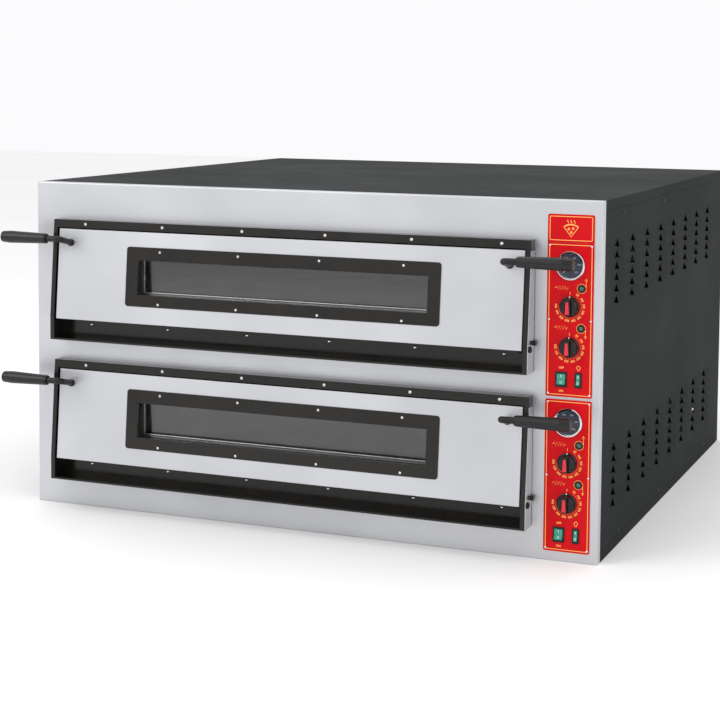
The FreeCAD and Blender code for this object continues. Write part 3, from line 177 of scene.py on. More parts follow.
def shades(tree, value, *stops):
    """Colour ramp from (position, hex) stops."""
    ramp = add_node(tree, "ShaderNodeValToRGB", {0: value})
    elements = ramp.color_ramp.elements
    while len(elements) < len(stops):
        elements.new(0.5)
    for element, (position, code) in zip(elements, stops):
        element.position = position
        element.color = linear(code)
    return ramp.outputs[0]


def raise_bumps(tree, shader, height, depth_mm, strength=1.0):
    """Bump from a value, as deep as depth_mm."""
    bump = add_node(tree, "ShaderNodeBump", {
        "Height": height, "Distance": depth_mm * MM, "Strength": strength})
    tree.links.new(bump.outputs[0], shader.inputs["Normal"])


# ---------------------------------------------------------------- finishes


def brushed_stainless():
    """304 stainless sheet, ground with a belt: long fine lines run across the front."""
    code = bpy.context.scene.oven_finish.steel
    material, tree, shader = start_material("stainless_brushed", Metallic=0.85)
    # grinding lines are 0.05 mm wide; drawn 1.2 mm wide so that they show
    lines = grain(tree, 1.2, (0.012, 1, 1), 4)
    cloud = grain(tree, 260, (1, 1, 1), 2)
    tint = shades(tree, cloud, (0.35, "#BEBFC2"), (0.65, code))
    tree.links.new(tint, shader.inputs["Base Color"])
    tree.links.new(between(tree, lines, 0.34, 0.46), shader.inputs["Roughness"])
    raise_bumps(tree, shader, lines, 0.02, 0.35)
    return material


def bright_stainless():
    """Bright-annealed stainless: smooth enough to mirror softly."""
    material, tree, shader = start_material("stainless_bright_annealed", Metallic=1.0)
    shader.inputs["Base Color"].default_value = linear("#C4C4C6")
    haze = grain(tree, 40, (1, 1, 1), 3)
    tree.links.new(between(tree, haze, 0.20, 0.30), shader.inputs["Roughness"])
    return material


def mill_steel():
    """Aluminised steel sheet as rolled: dull with a faint spangle."""
    material, tree, shader = start_material("aluminised_steel_mill", Metallic=0.9)
    spangle = grain(tree, 9, (1, 1, 1), 2)
    tree.links.new(shades(tree, spangle, (0.35, "#8C8E90"), (0.65, "#A8AAAC")), shader.inputs["Base Color"])
    tree.links.new(between(tree, spangle, 0.38, 0.55), shader.inputs["Roughness"])
    return material


def chamber_steel():
    """Steel that has been hot for years: straw and grey temper tints, dull."""
    material, tree, shader = start_material("steel_heat_tinted", Metallic=0.8)
    stain = grain(tree, 120, (1, 1, 1), 5)
    colour = shades(tree, stain, (0.3, "#55514A"), (0.5, "#77746C"), (0.7, "#8B8984"))
    tree.links.new(colour, shader.inputs["Base Color"])
    tree.links.new(between(tree, stain, 0.42, 0.62), shader.inputs["Roughness"])
    raise_bumps(tree, shader, grain(tree, 3), 0.03, 0.4)
    return material


def sheath_alloy():
    """Nickel alloy sheath, oxidised to a matt green-black."""
    material, tree, shader = start_material("nickel_alloy_oxidised", Metallic=0.6)
    scale = grain(tree, 6)
    tree.links.new(shades(tree, scale, (0.3, "#2B2A27"), (0.7, "#46443E")), shader.inputs["Base Color"])
    tree.links.new(between(tree, scale, 0.5, 0.7), shader.inputs["Roughness"])
    return material


def zinc_screw():
    """Bright zinc-plated screw: a soft mirror."""
    material, tree, shader = start_material("zinc_plate_bright", Metallic=1.0)
    shader.inputs["Base Color"].default_value = linear("#D8D8D6")
    tree.links.new(between(tree, grain(tree, 0.8), 0.14, 0.26), shader.inputs["Roughness"])
    return material


def chrome_bezel():
    """Chrome plate on a spun bezel."""
    material, tree, shader = start_material("chrome_plate_spun", Metallic=1.0)
    shader.inputs["Base Color"].default_value = linear("#DADCDF")
    tree.links.new(between(tree, grain(tree, 2), 0.06, 0.14), shader.inputs["Roughness"])
    return material


def casing_paint():
    """Polyester powder coat in graphite: satin, with a fine orange peel."""
    code = bpy.context.scene.oven_finish.casing
    material, tree, shader = start_material("powder_coat_graphite", IOR=1.5, Specular_IOR_Level=0.02)
    cloud = grain(tree, 300, (1, 1, 1), 3)
    tree.links.new(shades(tree, cloud, (0.3, code), (0.7, "#282A2A")), shader.inputs["Base Color"])
    tree.links.new(between(tree, cloud, 0.5, 0.62), shader.inputs["Roughness"])
    # the peel's waves are 2 mm across
    raise_bumps(tree, shader, grain(tree, 2), 0.03, 0.5)
    return material


def black_enamel():
    """Vitreous enamel, fired black: glassy, slightly wavy."""
    code = bpy.context.scene.oven_finish.enamel
    material, tree, shader = start_material(
        "vitreous_enamel_black", IOR=1.52, Specular_IOR_Level=0.25, Coat_Weight=0.12, Coat_Roughness=0.12)
    cloud = grain(tree, 90, (1, 1, 1), 4)
    tree.links.new(shades(tree, cloud, (0.35, code), (0.7, "#1E1B17")), shader.inputs["Base Color"])
    tree.links.new(between(tree, cloud, 0.16, 0.28), shader.inputs["Roughness"])
    raise_bumps(tree, shader, grain(tree, 14, (1, 1, 1), 1), 0.05, 0.3)
    return material


def blackened_steel():
    """Black-oxide steel bar, oiled."""
    material, tree, shader = start_material("steel_black_oxide", Specular_IOR_Level=0.3)
    wear = grain(tree, 5)
    tree.links.new(shades(tree, wear, (0.35, "#0D0D0D"), (0.72, "#1F1F1F")), shader.inputs["Base Color"])
    tree.links.new(between(tree, wear, 0.28, 0.42), shader.inputs["Roughness"])
    return material


def grip_resin():
    """Phenolic resin, moulded: dense black with a soft shine."""
    material, tree, shader = start_material("phenolic_resin_moulded", IOR=1.6, Specular_IOR_Level=0.28)
    flow = grain(tree, 12, (0.3, 1, 1))
    tree.links.new(shades(tree, flow, (0.3, "#0C0C0D"), (0.7, "#17171A")), shader.inputs["Base Color"])
    tree.links.new(between(tree, flow, 0.24, 0.36), shader.inputs["Roughness"])
    return material


def red_lacquer():
    """Stoved red lacquer on aluminium sheet."""
    code = bpy.context.scene.oven_finish.plate
    material, tree, shader = start_material("stoved_lacquer_red", IOR=1.5, Specular_IOR_Level=0.08)
    cloud = grain(tree, 60)
    tree.links.new(shades(tree, cloud, (0.3, "#BE0D16"), (0.6, code)), shader.inputs["Base Color"])
    tree.links.new(between(tree, cloud, 0.34, 0.44), shader.inputs["Roughness"])
    raise_bumps(tree, shader, grain(tree, 1.5), 0.01, 0.3)
    return material


def moulded_black():
    """Black ABS, moulded and polished."""
    material, tree, shader = start_material("abs_black_moulded", IOR=1.54, Specular_IOR_Level=0.3)
    flow = grain(tree, 7)
    tree.links.new(shades(tree, flow, (0.3, "#0B0B0C"), (0.7, "#151517")), shader.inputs["Base Color"])
    tree.links.new(between(tree, flow, 0.18, 0.28), shader.inputs["Roughness"])
    return material


def rocker_green():
    """Tinted polycarbonate rocker, lit through: glossy teal green."""
    code = bpy.context.scene.oven_finish.rocker
    material, tree, shader = start_material(
        "polycarbonate_green", IOR=1.58, Coat_Weight=0.5, Coat_Roughness=0.05)
    depth = grain(tree, 10, (1, 1, 1), 1)
    tree.links.new(shades(tree, depth, (0.3, "#057F68"), (0.7, code)), shader.inputs["Base Color"])
    tree.links.new(between(tree, depth, 0.14, 0.22), shader.inputs["Roughness"])
    return material


def lens_green():
    """Dark green polycarbonate lens of an unlit pilot lamp."""
    material, tree, shader = start_material("polycarbonate_green_dark", IOR=1.58, Coat_Weight=0.6)
    depth = grain(tree, 3, (1, 1, 1), 1)
    tree.links.new(shades(tree, depth, (0.3, "#053F30"), (0.7, "#0B6B50")), shader.inputs["Base Color"])
    tree.links.new(between(tree, depth, 0.1, 0.2), shader.inputs["Roughness"])
    return material


def white_paint():
    """White enamel paint on a thin pointer."""
    material, tree, shader = start_material("enamel_paint_white", IOR=1.5)
    shade = grain(tree, 2)
    tree.links.new(shades(tree, shade, (0.3, "#E6E6E2"), (0.7, "#F4F4F1")), shader.inputs["Base Color"])
    tree.links.new(between(tree, shade, 0.3, 0.4), shader.inputs["Roughness"])
    return material


def terminal_resin():
    """Cream urea resin of a terminal block."""
    material, tree, shader = start_material("urea_resin_cream", IOR=1.5)
    shade = grain(tree, 4)
    tree.links.new(shades(tree, shade, (0.3, "#D8D2C4"), (0.7, "#E8E3D8")), shader.inputs["Base Color"])
    tree.links.new(between(tree, shade, 0.4, 0.55), shader.inputs["Roughness"])
    return material


def clear_pane():
    """Oven glass with a grey heat-reflecting oxide coat, which mirrors a little more than plain glass."""
    material, tree, shader = start_material("oven_glass_coated", IOR=1.6, Transmission_Weight=1.0)
    shader.inputs["Base Color"].default_value = linear("#B9B9B9")
    tree.links.new(between(tree, grain(tree, 80), 0.0, 0.03), shader.inputs["Roughness"])
    return material


def dial_glass():
    """Thin clear glass of a dial: mostly see-through, so the scale reads through it."""
    material, tree, shader = start_material("soda_glass_thin", IOR=1.5, Alpha=0.1)
    shader.inputs["Base Color"].default_value = linear("#1C2022")
    tree.links.new(between(tree, grain(tree, 30), 0.0, 0.02), shader.inputs["Roughness"])
    return material


def lamp_glass():
    """Frosted oven-lamp dome."""
    material, tree, shader = start_material("frosted_glass", IOR=1.47, Transmission_Weight=0.4)
    shader.inputs["Base Color"].default_value = linear("#EFEBDD")
    tree.links.new(between(tree, grain(tree, 3), 0.3, 0.45), shader.inputs["Roughness"])
    return material


def fired_stone():
    """Fired cordierite slab: buff, porous, with darker baked patches."""
    material, tree, shader = start_material("cordierite_fired", IOR=1.5)
    patch = grain(tree, 110, (1, 1, 1), 6)
    colour = shades(tree, patch, (0.3, "#8E8371"), (0.5, "#B5AA95"), (0.72, "#C8BEA9"))
    tree.links.new(colour, shader.inputs["Base Color"])
    tree.links.new(between(tree, patch, 0.75, 0.92), shader.inputs["Roughness"])
    # pores are 1.5 mm across
    raise_bumps(tree, shader, grain(tree, 1.5), 0.15, 0.6)
    return material


def mineral_wool():
    """Rock wool felt: yellow-grey fibres."""
    material, tree, shader = start_material("rock_wool_felt", Sheen_Weight=0.3)
    fibre = grain(tree, 6, (0.25, 1, 1), 6)
    tree.links.new(shades(tree, fibre, (0.3, "#8E8455"), (0.7, "#C3B986")), shader.inputs["Base Color"])
    tree.links.new(between(tree, fibre, 0.88, 0.98), shader.inputs["Roughness"])
    raise_bumps(tree, shader, fibre, 1.0, 0.7)
    return material


def glass_braid():
    """Braided glass-fibre rope: off-white crossing strands."""
    material, tree, shader = start_material("glass_fibre_braid", Sheen_Weight=0.2)
    where = add_node(tree, "ShaderNodeTexCoord").outputs["Object"]
    # strands are 2.5 mm apart
    strands = add_node(tree, "ShaderNodeTexWave", {
        "Vector": where, "Scale": 1 / (2.5 * MM) / 20, "Distortion": 1.0}, bands_direction="DIAGONAL")
    tree.links.new(shades(tree, strands.outputs["Fac"], (0.2, "#9A978D"), (0.8, "#C9C6BC")),
                   shader.inputs["Base Color"])
    tree.links.new(between(tree, strands.outputs["Fac"], 0.8, 0.95, 0, 1), shader.inputs["Roughness"])
    raise_bumps(tree, shader, strands.outputs["Fac"], 0.4, 0.8)
    return material


def print_ink(name, code):
    """Screen-print ink: flat colour with a slightly uneven film."""
    material, tree, shader = start_material(name, IOR=1.5)
    film = grain(tree, 1.2)
    tree.links.new(between(tree, film, 0.4, 0.55), shader.inputs["Roughness"])
    shader.inputs["Base Color"].default_value = linear(code)
    return material


def dial_lacquer():
    """Slate-blue lacquer of the thermometer dials."""
    material, tree, shader = start_material("dial_lacquer_slate", IOR=1.5, Coat_Weight=0.2)
    cloud = grain(tree, 14)
    tree.links.new(shades(tree, cloud, (0.3, "#222B3A"), (0.7, "#2B3546")), shader.inputs["Base Color"])
    tree.links.new(between(tree, cloud, 0.35, 0.45), shader.inputs["Roughness"])
    return material


SLOT_FINISHES = {
    "brushed_stainless": brushed_stainless,
    "bright_stainless": bright_stainless,
    "inner_steel": mill_steel,
    "chamber_steel": chamber_steel,
    "element_sheath": sheath_alloy,
    "screw_steel": zinc_screw,
    "dial_metal": chrome_bezel,
    "dark_casing": casing_paint,
    "black_enamel": black_enamel,
    "black_oxide_steel": blackened_steel,
    "red_lacquer": red_lacquer,
    "black_plastic": moulded_black,
    "grip_plastic": grip_resin,
    "green_rocker": rocker_green,
    "green_lens": lens_green,
    "needle_white": white_paint,
    "terminal_plastic": terminal_resin,
    "clear_glass": clear_pane,
    "lamp_glass": lamp_glass,
    "refractory_stone": fired_stone,
    "mineral_wool": mineral_wool,
    "glass_braid": glass_braid,
}
NODE_FINISHES = {"thermometer_glasses": dial_glass}


# ---------------------------------------------------------------- making pieces


UPRIGHT = Matrix.Rotation(math.radians(90), 4, "X")


def on_face(x, y, z):
    """Matrix that stands a drawing, made flat in X and Y, on a face that looks to the front."""
    return Matrix.Translation((x, y, z)) @ UPRIGHT


def add_piece(name, shape, material, body):
    """Link a finished bmesh as a piece that rides on a body."""
    bmesh.ops.remove_doubles(shape, verts=shape.verts, dist=1e-6)
    bmesh.ops.recalc_face_normals(shape, faces=shape.faces)
    mesh = bpy.data.meshes.new(name)
    shape.to_mesh(mesh)
    shape.free()
    piece = bpy.data.objects.new(name, mesh)
    bpy.context.scene.collection.objects.link(piece)
    mesh.materials.append(material)
    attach(piece, body)
    return piece


def take_curve(shape, curve, matrix):
    """Turn a curve's data into mesh and add it to a bmesh through a matrix."""
    holder = bpy.data.objects.new("drawing", curve)
    bpy.context.scene.collection.objects.link(holder)
    bpy.context.view_layer.update()
    ready = holder.evaluated_get(bpy.context.evaluated_depsgraph_get())
    mesh = bpy.data.meshes.new_from_object(ready)
    mesh.transform(matrix)
    shape.from_mesh(mesh)
    bpy.data.objects.remove(holder)
    bpy.data.curves.remove(curve)
    bpy.data.meshes.remove(mesh)


def draw_lines(shape, lines, width, matrix, closed=False):
    """Add printed lines, each a list of flat points, as low ridges."""
    curve = bpy.data.curves.new("lines", "CURVE")
    curve.dimensions = "3D"
    curve.bevel_depth = width / 2
    curve.bevel_resolution = 1
    curve.use_fill_caps = True
    for points in lines:
        spline = curve.splines.new("POLY")
        spline.points.add(len(points) - 1)
        for point, (x, y) in zip(spline.points, points):
            point.co = (x, y, 0, 1)
        spline.use_cyclic_u = closed
    flat = Matrix.Diagonal((1, 1, 2 * PRINT_HEIGHT / width, 1))
    take_curve(shape, curve, matrix @ flat)


def draw_text(shape, words, height, matrix):
    """Add printed characters, centred on the matrix."""
    curve = bpy.data.curves.new("characters", "FONT")
    curve.body = words
    curve.size = height * FONT_SIZE_PER_HEIGHT
    curve.align_x = "CENTER"
    curve.align_y = "CENTER"
    curve.extrude = PRINT_HEIGHT
    curve.offset = height * BOLDNESS
    curve.resolution_u = 3
    take_curve(shape, curve, matrix)


def arc_points(radius, start, end, steps=24, centre=(0, 0)):
    """Points of an arc; angles in degrees, clockwise from the top."""
    turns = [math.radians(start + (end - start) * i / steps) for i in range(steps + 1)]
    return [(centre[0] + radius * math.sin(t), centre[1] + radius * math.cos(t)) for t in turns]


def rounded_outline(half_width, half_height, radius):
    """Closed outline of a rectangle with round corners."""
    points = []
    corners = ((1, 1, 0), (1, -1, 90), (-1, -1, 180), (-1, 1, 270))
    for x, y, start in corners:
        centre = (x * (half_width - radius), y * (half_height - radius))
        points += arc_points(radius, start, start + 90, 5, centre)
    return points


def disc(shape, radius, depth, matrix, segments=48):
    """Add a closed round slab with a softened rim."""
    made = bmesh.ops.create_cone(shape, cap_ends=True, segments=segments, radius1=radius,
                                 radius2=radius, depth=depth, matrix=matrix)
    rims = {e for v in made["verts"] for e in v.link_edges if len(e.link_faces) == 2
            and abs(e.calc_face_angle(0)) > 1.2}
    bmesh.ops.bevel(shape, geom=list(rims), offset=depth * 0.2, segments=2, profile=0.5,
                    affect="EDGES", material=-1)


def slab(shape, size, matrix, soft):
    """Add a closed block with rounded edges."""
    made = bmesh.ops.create_cube(shape, size=1, matrix=matrix @ Matrix.Diagonal((*size, 1)))
    edges = {e for v in made["verts"] for e in v.link_edges}
    bmesh.ops.bevel(shape, geom=list(edges), offset=soft, segments=2, profile=0.5,
                    affect="EDGES", material=-1)


# ---------------------------------------------------------------- printing on the plates


SCALE_STEPS = 10
SCALE_START = 32
SCALE_SWEEP = 238
DEGREES_PER_STEP = 50
TICKS_PER_STEP = 3
TICK_INNER = 23 * MM
TICK_OUTER = 24.6 * MM
ZERO_MARK = (23.5 * MM, 30 * MM)
ZIGZAG_PEAKS = 4
THIN_LINE = 0.8
TICK_LINE = 0.7
EMBLEM_LINE = 1.4


def heater_sign(shape, centre, stroke):
    """The printed sign of a heating element: a zigzag with a lead at each end."""
    half, lead, rise = 11.5 * MM, 3 * MM, 4.2 * MM
    points = [(-half - lead, 0), (-half, 0)]
    count = ZIGZAG_PEAKS * 2
    for index in range(count):
        x = -half + (index + 0.5) * 2 * half / count
        points.append((x, rise if index % 2 == 0 else -rise))
    points += [(half, 0), (half + lead, 0)]
    draw_lines(shape, [points], stroke * THIN_LINE, centre)


def lamp_sign(shape, centre, upwards, stroke):
    """A printed ring round a pilot lamp, with an arrow that leaves its side."""
    way = 1 if upwards else -1
    ring, tip, head, back = 9.4 * MM, 21 * MM * way, 2.6 * MM, 5 * MM * way
    draw_lines(shape, [arc_points(ring, 0, 350, 35)], stroke * THIN_LINE, centre, closed=True)
    draw_lines(shape, [
        [(ring, 0), (ring, tip)],
        [(ring - head, tip - back), (ring, tip), (ring + head, tip - back), (ring - head, tip - back)],
    ], stroke * THIN_LINE, centre)


def draw_tick(shape, inner, outer, turn, width, centre):
    """Add one printed tick that points to the centre, at an angle clockwise from the top."""
    draw_lines(shape, [[arc_points(inner, turn, turn, 1)[0], arc_points(outer, turn, turn, 1)[0]]],
               width, centre)


def knob_scale(shape, centre, radius, numeral, stroke):
    """Numerals and ticks round a knob, with the zero mark above it."""
    draw_lines(shape, [[(0, ZERO_MARK[0]), (0, ZERO_MARK[1])]], stroke, centre)
    for index in range(SCALE_STEPS):
        turn = SCALE_START + index * SCALE_SWEEP / (SCALE_STEPS - 1)
        spin = Matrix.Rotation(math.radians(-turn), 4, "Z")
        place = centre @ spin @ Matrix.Translation((0, radius, 0))
        draw_text(shape, str((index + 1) * DEGREES_PER_STEP), numeral, place)
        ticks = 1 if index == SCALE_STEPS - 1 else TICKS_PER_STEP
        for tick in range(ticks):
            angle = turn + tick * SCALE_SWEEP / (SCALE_STEPS - 1) / TICKS_PER_STEP
            draw_tick(shape, TICK_INNER, TICK_OUTER, angle, stroke * TICK_LINE, centre)


def bulb_sign(shape, centre, stroke):
    """A printed light bulb."""
    draw_lines(shape, [arc_points(3.6 * MM, -150, 150, 18)], stroke, centre)
    draw_lines(shape, [[(-1.8 * MM, -3.2 * MM), (-1.4 * MM, -6 * MM), (1.4 * MM, -6 * MM),
                        (1.8 * MM, -3.2 * MM)]], stroke, centre)


def slice_sign(shape, centre, stroke):
    """A pizza slice under three curls of steam, as a plain emblem."""
    draw_lines(shape, [[(-15 * MM, 3 * MM), (0, -17 * MM), (15 * MM, 3 * MM)]], stroke, centre)
    draw_lines(shape, [arc_points(26 * MM, -36, 36, 14, (0, -18 * MM))], stroke * 1.6, centre)
    for x, y in ((-5, -1), (4, 0), (0, -8)):
        draw_lines(shape, [arc_points(1.9 * MM, 0, 330, 11, (x * MM, y * MM))], stroke, centre, closed=True)
    for x in (-7, 0, 7):
        wave = [((x + 1.3 * math.sin(step * 0.9)) * MM, (10.5 + step) * MM) for step in range(8)]
        draw_lines(shape, [wave], stroke * THIN_LINE, centre)


BORDER_INSET = 4.5 * MM
SIGN_ABOVE_KNOB = {1: 38 * MM, 2: 40 * MM}
HEATER_SIGN_LEFT = 18 * MM
LAMP_SIGN_RIGHT = 24 * MM
SWITCH_WORDS = (("OFF", 24 * MM), ("ON", -24 * MM))
SWITCH_WORD_HEIGHT = 4.4 * MM
BULB_ABOVE_ROCKER = 26 * MM


class OVEN_OT_printing(bpy.types.Operator):
    """Print the borders, signs, scales and words on the control plates"""

    bl_idname = "oven.printing"
    bl_label = "Printing"

    def execute(self, context):
        sizes = context.scene.oven_printing
        ink = print_ink("screen_ink_amber", context.scene.oven_finish.printing)
        for deck in DECKS:
            shape = bmesh.new()
            low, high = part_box(f"control_plate_{deck}")
            centre = (low + high) / 2
            half = ((high.x - low.x) / 2 - BORDER_INSET, (high.z - low.z) / 2 - BORDER_INSET)
            draw_lines(shape, [rounded_outline(*half, 3 * MM)], sizes.line,
                       on_face(centre.x, PLATE_FACE, centre.z), closed=True)
            for index in (1, 2):
                knob = middle(f"thermostat_knob_{deck}_{index}")
                centre_matrix = on_face(centre.x, PLATE_FACE, knob.z)
                knob_scale(shape, centre_matrix, sizes.scale_radius, sizes.numeral, sizes.stroke)
                level = knob.z + SIGN_ABOVE_KNOB[index]
                heater_sign(shape, on_face(centre.x - HEATER_SIGN_LEFT, PLATE_FACE, level), sizes.stroke)
                lamp_place = on_face(centre.x + LAMP_SIGN_RIGHT, PLATE_FACE, level)
                lamp_sign(shape, lamp_place, index == 1, sizes.stroke)
            power = middle(f"power_rocker_{deck}")
            for words, offset in SWITCH_WORDS:
                place = on_face(power.x, PLATE_FACE, power.z + offset)
                draw_text(shape, words, SWITCH_WORD_HEIGHT, place)
            light = middle(f"light_rocker_{deck}")
            bulb_sign(shape, on_face(light.x, PLATE_FACE, light.z + BULB_ABOVE_ROCKER), sizes.stroke)
            add_piece(f"plate_printing_{deck}", shape, ink, "oven")
        shape = bmesh.new()
        low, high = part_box("header_plate")
        centre = (low + high) / 2
        half = ((high.x - low.x) / 2 - BORDER_INSET, (high.z - low.z) / 2 - BORDER_INSET)
        face = on_face(centre.x, PLATE_FACE, centre.z)
        draw_lines(shape, [rounded_outline(*half, 2 * MM)], sizes.line, face, closed=True)
        slice_sign(shape, face, sizes.stroke * EMBLEM_LINE)
        add_piece("header_printing", shape, ink, "oven")
        return {"FINISHED"}


DIAL_START = -135
DIAL_SWEEP = 270
DIAL_STEPS = 10
DIAL_PROUD = 1.5 * MM
DIAL_RADIUS = 25.8 * MM
LACQUER_THICK = 0.2 * MM
DIAL_TICK_INNER = (22 * MM, 23.2 * MM)
DIAL_TICK_OUTER = 24.8 * MM
DIAL_TICK_LINE = 0.5 * MM
DIAL_NUMERAL_RADIUS = 18 * MM
DIAL_NUMERAL_HEIGHT = 3.4 * MM
DIAL_UNIT_HEIGHT = 3.6 * MM
DIAL_UNIT_DROP = 9 * MM


class OVEN_OT_dials(bpy.types.Operator):
    """Add the lacquered faces of the thermometers with their scales"""

    bl_idname = "oven.dials"
    bl_label = "Thermometer dials"

    def execute(self, context):
        lacquer = dial_lacquer()
        ink = print_ink("screen_ink_grey", "#9FA6AE")
        for deck in DECKS:
            centre_x = middle(f"control_plate_{deck}").x
            level = middle("thermometer_cases").z
            pitch = middle("control_plate_upper").z - middle("control_plate_lower").z
            level += pitch / 2 if deck == "upper" else -pitch / 2
            face = PLATE_FACE - DIAL_PROUD
            shape = bmesh.new()
            disc(shape, DIAL_RADIUS, LACQUER_THICK, on_face(centre_x, face - LACQUER_THICK / 2, level), 64)
            add_piece(f"dial_face_{deck}", shape, lacquer, "oven")
            shape = bmesh.new()
            centre = on_face(centre_x, face - LACQUER_THICK, level)
            for index in range(DIAL_STEPS * 2 + 1):
                turn = DIAL_START + index * DIAL_SWEEP / (DIAL_STEPS * 2)
                draw_tick(shape, DIAL_TICK_INNER[index % 2], DIAL_TICK_OUTER, turn, DIAL_TICK_LINE, centre)
            for index in range(0, DIAL_STEPS + 1, 2):
                turn = math.radians(DIAL_START + index * DIAL_SWEEP / DIAL_STEPS)
                spot = (DIAL_NUMERAL_RADIUS * math.sin(turn), DIAL_NUMERAL_RADIUS * math.cos(turn), 0)
                draw_text(shape, str(index * DEGREES_PER_STEP), DIAL_NUMERAL_HEIGHT,
                          centre @ Matrix.Translation(spot))
            unit_place = centre @ Matrix.Translation((0, -DIAL_UNIT_DROP, 0))
            draw_text(shape, "°C", DIAL_UNIT_HEIGHT, unit_place)
            add_piece(f"dial_scale_{deck}", shape, ink, "oven")
        return {"FINISHED"}


INLAY_SIZE = (8.6 * MM, 25 * MM, 0.8 * MM)
INLAY_DROP = 1 * MM
INLAY_PROUD = 0.1 * MM
INLAY_TAPER = 0.62
POINTER_SIZE = (2.2 * MM, 2.6 * MM, 0.4 * MM)
RIM_RADIUS = 20 * MM
RIM_BEHIND_BAR = 19.15 * MM
RIM_TILT = Matrix.Rotation(math.radians(-36.9), 4, "X")


class OVEN_OT_knob_marks(bpy.types.Operator):
    """Add the red inlays and white pointers of the knobs"""

    bl_idname = "oven.knob_marks"
    bl_label = "Knob marks"

    def execute(self, context):
        red = print_ink("abs_red_inlay", "#D81B2C")
        white = print_ink("knob_ink_white", "#F3F3F0")
        for deck in DECKS:
            for index in (1, 2):
                node = f"thermostat_knob_{deck}_{index}"
                low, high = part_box(node)
                centre = (low + high) / 2
                body = f"knob_{deck}_{index}"
                shape = bmesh.new()
                place = on_face(centre.x, low.y - INLAY_PROUD, centre.z - INLAY_DROP)
                slab(shape, INLAY_SIZE, place, 0.3 * MM)
                for vertex in shape.verts:
                    if vertex.co.z > centre.z:
                        vertex.co.x = centre.x + (vertex.co.x - centre.x) * INLAY_TAPER
                add_piece(f"knob_inlay_{deck}_{index}", shape, red, body)
                shape = bmesh.new()
                rim = Matrix.Translation((centre.x, low.y + RIM_BEHIND_BAR, centre.z + RIM_RADIUS))
                slab(shape, POINTER_SIZE, rim @ RIM_TILT @ UPRIGHT, 0.1 * MM)
                add_piece(f"knob_pointer_{deck}_{index}", shape, white, body)
        return {"FINISHED"}


ROCKER_TIP = Matrix.Rotation(math.radians(-9), 4, "X")
ROCKER_DISH = math.atan2(2.9, 12.25)
MARK_RISE = 6.4 * MM
MARK_FORWARD = 5.15 * MM
ON_MARK_SIZE = (1.3 * MM, 4.4 * MM, 0.4 * MM)
OFF_MARK_RADIUS = 2 * MM
OFF_MARK_LINE = 0.7 * MM


class OVEN_OT_rocker_marks(bpy.types.Operator):
    """Add the printed on and off marks of the rockers"""

    bl_idname = "oven.rocker_marks"
    bl_label = "Rocker marks"

    def execute(self, context):
        white = print_ink("rocker_ink_white", "#EAF4F0")
        for deck in DECKS:
            for kind in ("power", "light"):
                low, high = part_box(f"{kind}_rocker_{deck}")
                centre = (low + high) / 2
                shape = bmesh.new()
                pivot = Matrix.Translation((centre.x, FASCIA[0].y, centre.z)) @ ROCKER_TIP
                for way in (1, -1):
                    dish = Matrix.Rotation(way * ROCKER_DISH, 4, "X")
                    spot = Matrix.Translation((0, -MARK_FORWARD, way * MARK_RISE))
                    face = pivot @ spot @ dish @ UPRIGHT
                    if way == 1:
                        slab(shape, ON_MARK_SIZE, face, 0.1 * MM)
                    else:
                        ring = arc_points(OFF_MARK_RADIUS, 0, 345, 23)
                        draw_lines(shape, [ring], OFF_MARK_LINE, face, closed=True)
                body = f"{kind}_switch_{deck}"
                add_piece(f"rocker_marks_{kind}_{deck}", shape, white, body)
        return {"FINISHED"}


TRIM_WIDTH = 2.6 * MM
TRIM_THICK = 1.6 * MM
TRIM_GAP = 0.05 * MM
TRIM_LAP = 0.2 * MM
TRIM_ROUND = 0.4 * MM


class OVEN_OT_glass_trims(bpy.types.Operator):
    """Add the bright frames that hold the panes at the inner end of each window"""

    bl_idname = "oven.glass_trims"
    bl_label = "Glass trims"

    def execute(self, context):
        steel = bright_stainless()
        for deck in DECKS:
            low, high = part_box(f"window_glass_{deck}")
            front = low.y - TRIM_THICK / 2 - TRIM_GAP
            centre = (low + high) / 2
            shape = bmesh.new()
            across = high.x - low.x
            upright = high.z - low.z - 2 * TRIM_WIDTH + TRIM_LAP
            for z in (low.z + TRIM_WIDTH / 2, high.z - TRIM_WIDTH / 2):
                place = Matrix.Translation((centre.x, front, z))
                slab(shape, (across, TRIM_THICK, TRIM_WIDTH), place, TRIM_ROUND)
            for x in (low.x + TRIM_WIDTH / 2, high.x - TRIM_WIDTH / 2):
                place = Matrix.Translation((x, front, centre.z))
                slab(shape, (TRIM_WIDTH, TRIM_THICK, upright), place, TRIM_ROUND)
            add_piece(f"glass_trim_{deck}", shape, steel, f"door_{deck}")
        return {"FINISHED"}


# ---------------------------------------------------------------- finishes and stage


class OVEN_OT_finishes(bpy.types.Operator):
    """Give every part of the frame its finish"""

    bl_idname = "oven.finishes"
    bl_label = "Finishes"

    def execute(self, context):
        made = {}
        for row in frame["record"]["subparts"]:
            slot_name = row["material_slot"]
            if slot_name not in SLOT_FINISHES:
                raise RuntimeError(f"no finish for the slot {slot_name}")
            finish = NODE_FINISHES.get(row["node"], SLOT_FINISHES[slot_name])
            if finish not in made:
                made[finish] = finish()
            node = frame["nodes"][row["node"]]
            if not node.material_slots:
                node.data.materials.append(made[finish])
            for holder in node.material_slots:
                holder.material = made[finish]
        return {"FINISHED"}


LIGHT_TARGET = (0, 0, 0.4)
LIGHTS = (
    # name, place, side in metres, watts
    ("key", (-2.6, -3.6, 3.0), 3.0, 70),
    ("fill", (3.8, -2.6, 2.2), 3.0, 38),
    ("top", (0, 0.2, 4.2), 3.5, 30),
)


def area_light(name, place, size, power):
    """A soft square light aimed at the middle of the oven."""
    data = bpy.data.lights.new(name, "AREA")
    data.size = size
    data.energy = power
    light = bpy.data.objects.new(name, data)
    light.location = place
    light.rotation_euler = (Vector(LIGHT_TARGET) - Vector(place)).to_track_quat("-Z", "Y").to_euler()
    bpy.context.scene.collection.objects.link(light)


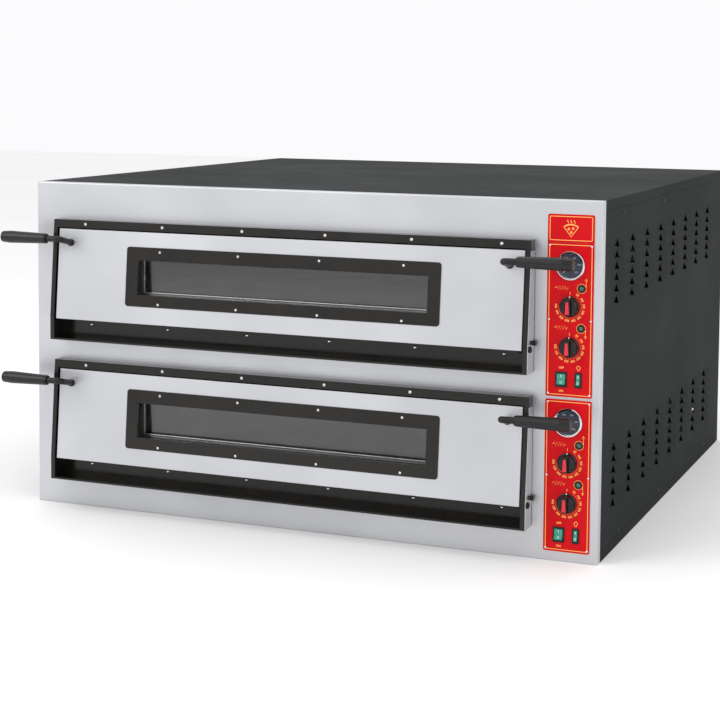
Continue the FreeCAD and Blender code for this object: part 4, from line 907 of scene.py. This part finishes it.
class OVEN_OT_stage(bpy.types.Operator):
    """Add the floor, the light and the camera"""

    bl_idname = "oven.stage"
    bl_label = "Stage"

    def execute(self, context):
        scene = context.scene
        material, tree, shader = start_material("studio_floor", Roughness=0.7)
        tint = grain(tree, 900)
        tree.links.new(shades(tree, tint, (0.3, "#F6F6F5"), (0.7, "#FAFAF9")), shader.inputs["Base Color"])
        shape = bmesh.new()
        bmesh.ops.create_grid(shape, x_segments=1, y_segments=1, size=15)
        mesh = bpy.data.meshes.new("floor")
        shape.to_mesh(mesh)
        shape.free()
        mesh.materials.append(material)
        floor = bpy.data.objects.new("floor", mesh)
        scene.collection.objects.link(floor)

        world = bpy.data.worlds.new("studio")
        world.use_nodes = True
        world.node_tree.nodes["Background"].inputs[0].default_value = linear("#FBFBFD")
        world.node_tree.nodes["Background"].inputs[1].default_value = 1.0
        scene.world = world
        scene.view_settings.view_transform = "Standard"
        for light in LIGHTS:
            area_light(*light)

        view = scene.oven_camera
        data = bpy.data.cameras.new("camera")
        data.lens = view.lens
        data.shift_y = view.shift
        camera = bpy.data.objects.new("camera", data)
        camera.location = view.place
        aim = Euler((math.radians(90) - view.pitch, 0, view.heading)).to_matrix().to_4x4()
        turn = Matrix.Rotation(view.roll, 4, "Z")
        camera.rotation_euler = (aim @ turn).to_euler()
        scene.collection.objects.link(camera)
        scene.camera = camera
        return {"FINISHED"}


# ---------------------------------------------------------------- panel and registration


class OVEN_PT_panel(bpy.types.Panel):
    """Lists the oven's operators and settings"""

    bl_idname = "OVEN_PT_panel"
    bl_label = "Pizza Oven"
    bl_space_type = "VIEW_3D"
    bl_region_type = "UI"
    bl_category = "Pizza Oven"

    def draw(self, context):
        for operator in OPERATORS:
            self.layout.operator(operator.bl_idname)
        for group in SETTINGS:
            settings = getattr(context.scene, group)
            for name in settings.bl_rna.properties.keys():
                if name not in {"rna_type", "name"}:
                    self.layout.prop(settings, name)


SETTINGS = {"oven_finish": OvenFinish, "oven_printing": OvenPrinting, "oven_camera": OvenCamera}
OPERATORS = (
    OVEN_OT_stage,
    OVEN_OT_finishes,
    OVEN_OT_printing,
    OVEN_OT_dials,
    OVEN_OT_knob_marks,
    OVEN_OT_rocker_marks,
    OVEN_OT_glass_trims,
)


def register():
    """Register the classes and attach the settings to the scene."""
    for item in (*SETTINGS.values(), *OPERATORS, OVEN_PT_panel):
        bpy.utils.register_class(item)
    for name, group in SETTINGS.items():
        setattr(bpy.types.Scene, name, bpy.props.PointerProperty(type=group))


def unregister():
    """Undo register."""
    for name in SETTINGS:
        delattr(bpy.types.Scene, name)
    for item in reversed((*SETTINGS.values(), *OPERATORS, OVEN_PT_panel)):
        bpy.utils.unregister_class(item)


def main():
    """Build everything: register the classes and run each operator in turn."""
    register()
    for operator in OPERATORS:
        group, name = operator.bl_idname.split(".")
        getattr(getattr(bpy.ops, group), name)()


if __name__ == "__main__":
    main()
